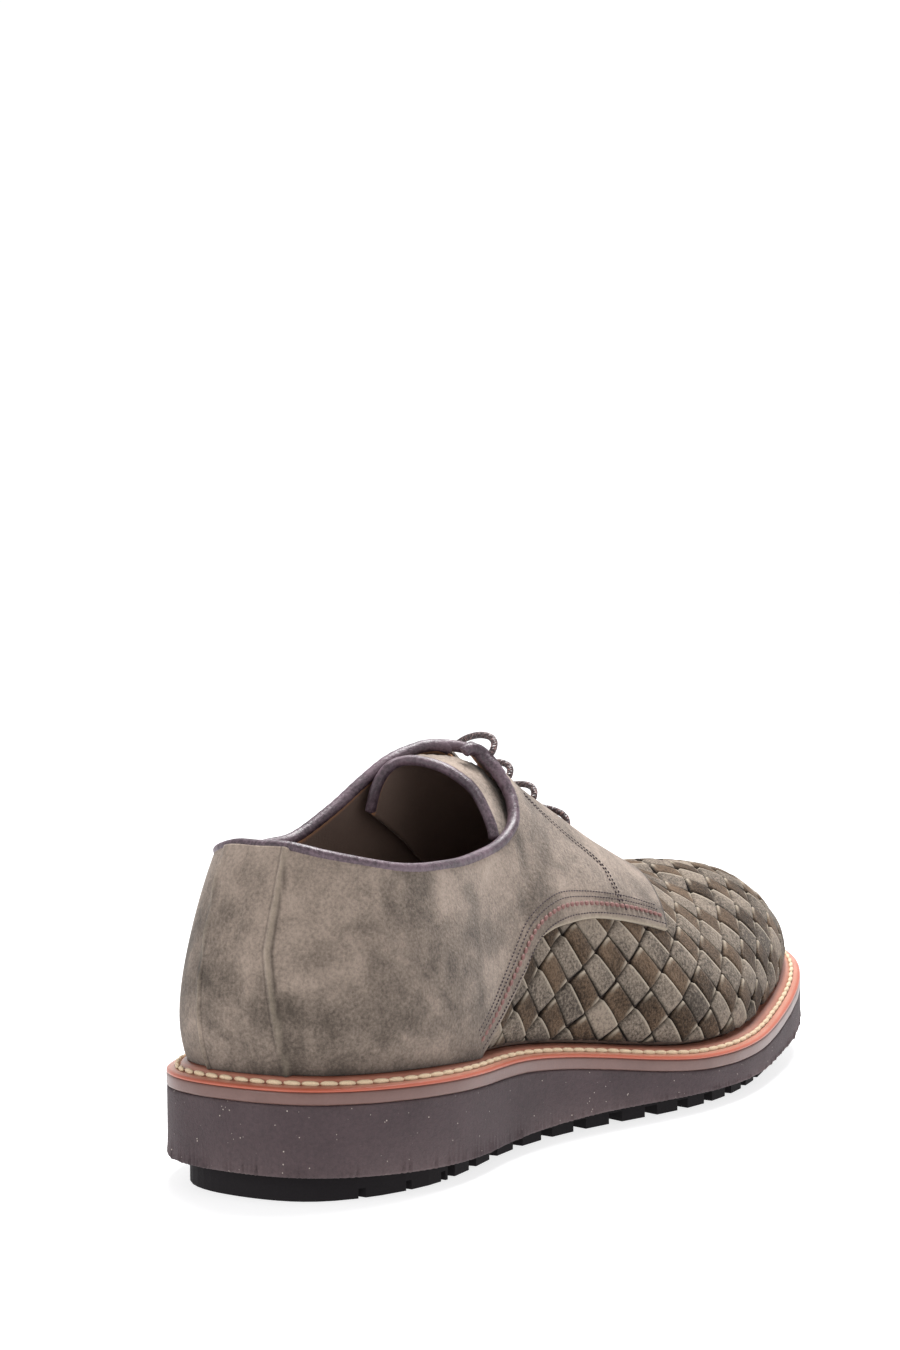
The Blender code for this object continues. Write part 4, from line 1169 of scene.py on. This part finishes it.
def make_vamp_lining():
    """The closed sheet under the weave: the cells of a finer lattice before the edge and on the foot."""
    unit_cell = STRIP_DIAMOND / 4
    reach = 2 * int(LENGTH / unit_cell / 2)
    i, j = np.meshgrid(np.arange(reach), np.arange(reach), indexing="ij")
    x = (i + j - reach) * unit_cell + WEAVE_ORIGIN * LENGTH
    y = (i - j) * unit_cell
    kept = (behind_edge(x, y, vamp_edge()) < LAP + 0.001) & (x > 0.12 * LENGTH) & (x < 1.6 * LENGTH)
    number = np.arange(reach * reach).reshape(reach, reach)

    def corners(grid):
        return np.stack([grid[:-1, :-1], grid[1:, :-1], grid[1:, 1:], grid[:-1, 1:]], axis=-1)

    wanted = corners(kept).all(axis=-1) & corners(kept & (from_sheet(x, y)[2] > 0.02)).any(axis=-1)
    used, faces = np.unique(corners(number)[wanted], return_inverse=True)
    x, y = x.ravel()[used], y.ravel()[used]
    side, station, rise = from_sheet(x, y)
    foot_x, foot_y = to_sheet(side, station, np.zeros(len(used)))
    x, y = np.where(rise < 0.012, foot_x, x), np.where(rise < 0.012, foot_y, y)
    points, faces = thick(sheet_skin(x, y, -0.0017), sheet_skin(x, y, -0.0024), faces.reshape(-1, 4))
    piece("vamp_lining", points, faces, "lining", "lining", edge=np.zeros(len(points)))


# Stitches of the upper. The lines that the rows follow: along as a share of LENGTH, rise
BAND = (
    (0.230, 0.010),
    (0.270, 0.085),
    (0.311, 0.186),
    (0.345, 0.280),
    (0.382, 0.340),
    (0.411, 0.374),
    (0.440, 0.395),
    (0.485, 0.408),
    (0.520, 0.411),
    (0.553, 0.406),
)
FACING = (
    (0.405, 0.790),
    (0.430, 0.745),
    (0.453, 0.700),
    (0.483, 0.643),
    (0.491, 0.596),
    (0.488, 0.547),
    (0.486, 0.478),
    (0.486, 0.448),
)
# Rows beside a line: distance from it, thread. Negative lies inside the curved edge.
BAND_ROWS = (
    (-0.0017, "dark thread"),
    (-0.0045, "red thread"),
    (-0.0064, "dark thread"),
    (-0.0080, "dark thread"),
)
FACING_ROWS = ((0.0, "dark thread"), (0.0016, "dark thread"))
# Threads: pitch, then a stitch's half length, half width and half height
THREADS = {
    "dark thread": (0.0014, 0.00046, 0.00019, 0.00022),
    "red thread": (0.0025, 0.00100, 0.00070, 0.00045),
}


def sheet_line(side, rows):
    """A smooth line on the sheet through places given as along and rise."""
    rows = np.array(rows)
    station = station_of(side, rows[:, 0] * LENGTH)
    knots = numbered(np.column_stack(to_sheet(np.full(len(rows), float(side)), station, rows[:, 1])).tolist())
    t = np.linspace(0, len(rows) - 1, 160)
    return np.column_stack([flow(t, knots, 1), flow(t, knots, 2)])


def offset_line(line, distance):
    """The line moved to its right by a distance."""
    run = unit(np.gradient(line, axis=0))
    return line + np.column_stack([run[:, 1], -run[:, 0]]) * distance


def lift_of_quarters(x, y):
    """How far the quarters stand over the last at places on the sheet: the lift at their nearest point."""
    side = np.where(np.mean(y) < 0, -1.0, 1.0)
    order = np.linspace(5, len(LATERAL_RIBS) - 1, 120)
    station, rise = rib_place(LATERAL_RIBS if side < 0 else MEDIAL_RIBS, order, QUARTER_SHARE)
    near_x, near_y = to_sheet(np.full(station.shape, side), station, rise)
    raised = over_vamp(order[:, None], QUARTER_SHARE)
    away = (x[:, None] - near_x.ravel()) ** 2 + (y[:, None] - near_y.ravel()) ** 2
    return raised.ravel()[np.argmin(away, axis=1)]


def stitch_row(line, pitch):
    """Middles, headings and outward directions of a row of stitches, along a line on the sheet.

    The row lies just over the quarters, whose lift is averaged over seven points of the line.
    """
    lift = lift_of_quarters(line[:, 0], line[:, 1]) + 0.00015
    lift = np.convolve(np.pad(lift, 3, mode="edge"), np.full(7, 1 / 7), mode="valid")
    points = sheet_skin(line[:, 0], line[:, 1], lift)
    outside = sheet_skin(line[:, 0], line[:, 1], lift + 0.001) - points
    middles, heading = spaced(points, pitch)
    number = np.argmin(((points - middles[:, None]) ** 2).sum(axis=2), axis=1)
    return middles, heading, outside[number]


def make_upper_stitches():
    """The rows beside the curved edge and the facing on both sides, one piece for each thread."""
    found = {skin: [] for skin in THREADS}
    for side in (-1, 1):
        for table, rows in ((BAND, BAND_ROWS), (FACING, FACING_ROWS)):
            base = sheet_line(side, table)
            for distance, skin in rows:
                line = offset_line(base, -side * distance)
                line = line[from_sheet(line[:, 0], line[:, 1])[2] > 0.004]
                found[skin].append(stitch_row(line, THREADS[skin][0]))
    for skin, rows in found.items():
        middles, heading, out = (np.concatenate(part) for part in zip(*rows))
        capsules("stitches_" + skin.replace(" ", "_"), middles, heading, out, THREADS[skin][1:], skin)


# Bindings
# How far a roll stands out from the edge it covers, each roll's half width and half height, and the share and
# the pitch of the collar's puckers
ROLL_OUT = 0.0006
COLLAR_ROLL = (0.0016, 0.0019)
COLLAR_HOOK = (0.0016, 0.0018)
TONGUE_ROLL = (0.0018, 0.0015)
PUCKER = 0.035
PUCKER_PITCH = 0.0032

# The collar's front corners, as points of the roll in millimetres, in the last's frame
MEDIAL_HOOK = (
    (108.9, 9.9, 111.0),
    (113.5, 7.4, 111.4),
    (118.0, 4.4, 110.9),
    (121.8, 1.6, 109.8),
    (124.6, -0.8, 108.0),
)
LATERAL_HOOK = (
    (115.6, -13.6, 102.8),
    (115.4, -10.2, 106.8),
    (114.4, -8.0, 109.4),
    (112.4, -6.6, 110.8),
    (110.0, -5.6, 110.9),
    (108.6, -4.8, 109.8),
)


def make_collar_binding():
    """A roll along the ribs' tops in the middle of the wall, puckered by a sine, and its two front ends."""
    steps = np.linspace(0, COLLAR_RIBS - 1, 160)
    path, raised = [], []
    middle = -QUARTER_WALL / 2
    for side, table, order in sides_of(steps):
        station, rise = (flow(order, numbered(table), column) for column in (3, 4))
        path.append(quarter_skin(side, station, rise, middle))
        raised.append(quarter_skin(side, station, rise, middle + QUARTER_WALL))
    path, raised = np.concatenate(path), np.concatenate(raised)
    face = unit(raised - path)
    path = path + unit(np.cross(np.gradient(path, axis=0), face)) * ROLL_OUT
    reach = distances(path)
    wanted = np.linspace(0, reach[-1], 420)
    tall = COLLAR_ROLL[1] * (1 + PUCKER * np.sin(wanted * 2 * math.pi / PUCKER_PITCH))
    path, out = (at_distances(wanted, reach, rows) for rows in (path, face))
    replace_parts(sweep("collar_roll", path, out, COLLAR_ROLL[0], tall, "binding"), "collar_binding")
    for name, hook, way in (("lateral_hook", LATERAL_HOOK, face[3]), ("medial_hook", MEDIAL_HOOK, face[-3])):
        curve = curve_through(hook, 60, 60)
        made = sweep(name, curve, np.tile(way, (len(curve), 1)), *COLLAR_HOOK, "binding")
        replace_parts(made, "collar_binding")


# Tongue. Its rim, as points in millimetres in the last's frame, from its lateral edge over the top to the
# medial one
TONGUE_RIM = (
    (99.6, -22.2, 86.5),
    (100.2, -20.6, 91.0),
    (100.9, -17.2, 96.8),
    (101.5, -14.2, 100.6),
    (101.2, -11.0, 103.6),
    (100.2, -4.2, 107.3),
    (99.9, 5.3, 109.0),
    (98.1, 10.8, 108.2),
    (94.7, 13.3, 105.2),
    (92.2, 14.9, 100.2),
    (92.0, 17.0, 93.0),
)
# Places along the rim, the sheet's points along and across it, and the thickness of the suede
RIM_ACROSS = np.linspace(-1, 1, 161)
TONGUE_GRID = (70, 60)
TONGUE_SUEDE = 0.0010


def tongue_skin(along, across, lift):
    """The tongue's sheet, for across from -1 on its lateral edge to 1 on its medial edge.

    What stands over its flattened height comes off as (over + root of (over squared + softness squared)) / 2.
    """
    points = sheet_skin(along * LENGTH + 0 * across, flow(along, TONGUE, 1) * BALL_WIDTH * across, lift)
    over = points[..., 2] - RIDGE_HEIGHT * flow(along, TONGUE, 2) - lift + TONGUE_TOP
    points[..., 2] -= (over + np.sqrt(over**2 + TONGUE_SOFTNESS**2)) / 2
    return points


def tongue_lift(along, across):
    """What moves the tongue's sheet so that its top edge runs through TONGUE_RIM, faded out over 40 mm.

    A dent 1.6 mm deep at most lies behind the rim on the lateral side.
    """
    top = TONGUE[0][0]
    plain = tongue_skin(np.array(top), RIM_ACROSS, TONGUE_TOP)
    moved = curve_through(TONGUE_RIM, len(RIM_ACROSS), 400) - plain
    spread = np.stack([np.interp(across, RIM_ACROSS, column) for column in moved.T], axis=-1)
    ahead = (along - top) * LENGTH
    dent = 0.0016 * smooth(ahead / 0.009) * smooth(1 - (ahead - 0.012) / 0.018) * smooth((0.5 - across) / 0.6)
    spread = spread * smooth(1 - ahead / 0.040)[..., None]
    spread[..., 2] -= dent
    return spread


def make_tongue():
    """Two closed walls on one sheet, suede over lining, and the roll along its top edge."""
    rows, columns = TONGUE_GRID
    along = np.linspace(TONGUE[0][0], TONGUE[-1][0], rows)[:, None]
    across = np.linspace(-1, 1, columns)
    lifts = (rng.normal(0, 0.00012, TONGUE_GRID), -TONGUE_SUEDE, -TONGUE_THICKNESS)
    moved = tongue_lift(along + 0 * across, across + 0 * along)
    outer, middle, inner = (tongue_skin(along, across, TONGUE_TOP + lift) + moved for lift in lifts)
    faces = grid_faces(rows, columns)
    points, walls = thick(outer, middle, faces)
    plain = np.zeros(len(points))
    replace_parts(piece("tongue_suede", points, walls, "suede", "suede", edge=plain, dark=plain), "tongue")
    points, walls = thick(middle, inner, faces)
    pale = np.zeros((2, rows, columns))
    pale[:, :1] = 1
    piece("tongue_lining", points, walls, "lining", "lining", edge=pale)
    top = np.full(len(RIM_ACROSS), TONGUE[0][0])
    shift = tongue_lift(top, RIM_ACROSS)
    middle = TONGUE_TOP - TONGUE_THICKNESS / 2
    rim, ahead = (tongue_skin(place, RIM_ACROSS, middle) + shift for place in (top, top + 0.01))
    back = unit(rim - ahead)
    face = np.cross(np.gradient(rim, axis=0), back)
    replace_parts(sweep("tongue_roll", rim + back * ROLL_OUT, face, *TONGUE_ROLL, "binding"), "tongue_binding")


# Laces, from the top of the throat down: how far the middle stands over the last, lean and shift along it
LACE_ROWS = ((0.0050, 0.006, 0.003), (0.0032, 0.006, 0.0), (0.0032, 0.006, 0.0), (0.0032, 0.0, 0.0))
# How far the ends go under the facing
LACE_DEPTH = 0.0030


def make_laces():
    """Four passes of the lace: up from under a facing, over the throat and down through the eyelet across.

    Along each pass t goes from -1 to 1. The lift is -LACE_DEPTH + (LACE_DEPTH + top) * (1 - t ** 6) ** 0.6.
    """
    made = []
    for x, (top, lean, shift) in zip(EYELETS, LACE_ROWS):
        t = np.linspace(-1, 1, 60)
        y = t * EYELET_SIDE * BALL_WIDTH
        lift = -LACE_DEPTH + (LACE_DEPTH + top) * np.clip(1 - np.abs(t) ** 6, 0, 1) ** 0.6
        place = x * LENGTH + lean * t + shift
        path = sheet_skin(place, y, lift)
        out = sheet_skin(place, y, lift + 0.001) - path
        made.append(sweep("lace_%d" % (len(made) + 1), path, out, LACE_RADIUS, LACE_RADIUS, "lace", 12))
    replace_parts(made[0], "laces")


def dress_tread():
    """The two treads stay the part's own solids, in rubber."""
    for name in ("heel_tread", "forefoot_tread"):
        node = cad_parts[name]
        node.data.materials.clear()
        node.data.materials.append(SKINS["rubber"])


# Camera, in the last's frame, with its roll in degrees and its lens in millimetres
CAMERA = (-0.655261, -0.494784, 0.189657)
AHEAD = (0.837939, 0.542136, -0.062829)
ROLL = -0.51004
LENS = 84.105
SENSOR = 36

# Floor and lights. A light: name, place, sides, power
FLOOR_HALF = 4.0
FLOOR_DROP = 0.0002
FLOOR_GLOW = 0.76
LIGHTS = (
    ("key", (0.45, 0.15, 1.25), (0.6, 0.6), 33),
    ("front", (-0.4, -1.2, 0.9), (0.9, 0.6), 1.5),
    ("heel", (-1.2, 0.3, 0.6), (0.5, 0.5), 3),
)


def placed(name, data, right, up, back, place):
    """An object of the scene with its own axes right, up and back, at a place."""
    made = bpy.data.objects.new(name, data)
    bpy.context.scene.collection.objects.link(made)
    rows = [(right[k], up[k], back[k], place[k]) for k in range(3)]
    made.matrix_world = Matrix((*rows, (0, 0, 0, 1)))
    return made


def make_camera():
    """The photograph's camera: level by the cross product of its line of sight and up, then rolled."""
    ahead = unit(np.array(AHEAD))
    right = unit(np.cross(ahead, (0, 0, 1)))
    up = np.cross(right, ahead)
    turn = math.radians(ROLL)
    right, up = math.cos(turn) * right + math.sin(turn) * up, math.cos(turn) * up - math.sin(turn) * right
    data = bpy.data.cameras.new("camera")
    data.lens = LENS
    data.sensor_width = SENSOR
    camera = placed("camera", data, right, up, -ahead, np.array(CAMERA) - (*CENTRE, 0))
    bpy.context.scene.camera = camera


def area_light(name, place, size, power):
    """A rectangular light that looks at the origin."""
    data = bpy.data.lights.new(name, "AREA")
    data.shape = "RECTANGLE"
    data.size, data.size_y = size
    data.energy = power
    back = unit(np.array(place, float))
    right = unit(np.cross((0, 0, 1), back))
    placed(name, data, right, np.cross(back, right), back, place)


def floor_finish(value, place):
    """Nearly even light grey."""
    return {"Base Color": noise(value, place, 2.0, 1).mix((0.35, 0.35, 0.36), (0.38, 0.38, 0.39))}


def make_stage():
    """A pale floor that glows a little, three lights, and a world that is bright near the horizon."""
    half, low = FLOOR_HALF, -FLOOR_DROP
    corners = [(-half, -half, low), (half, -half, low), (half, half, low), (-half, half, low)]
    mesh = bpy.data.meshes.new("floor")
    mesh.from_pydata(corners, [], [(0, 1, 2, 3)])
    finish = {"Roughness": 0.6, "Emission_Color": (1, 1, 1), "Emission_Strength": FLOOR_GLOW}
    mesh.materials.append(material("floor", floor_finish, **finish))
    floor = bpy.data.objects.new("floor", mesh)
    bpy.context.scene.collection.objects.link(floor)
    world = bpy.data.worlds.new("studio")
    world.use_nodes = True
    bpy.context.scene.world = world
    background = world.node_tree.nodes["Background"]
    sky = Value(world.node_tree, 0.0)
    height = sky.made("SeparateXYZ", {0: sky.made("TexCoord", output="Generated")}, "Z")
    plug(world.node_tree, background.inputs["Strength"], 1.04 - height.above(0.20, 0.45) * 0.55)
    plug(world.node_tree, background.inputs["Color"], (1.0, 1.0, 1.0))
    bpy.context.scene.view_settings.view_transform = "Standard"
    for light in LIGHTS:
        area_light(*light)


make_foam()
make_midsole()
make_welt()
make_welt_stitches()
make_insole()
make_quarters()
make_lining()
make_weave()
make_vamp_lining()
make_upper_stitches()
make_collar_binding()
make_tongue()
make_laces()
dress_tread()
make_camera()
make_stage()
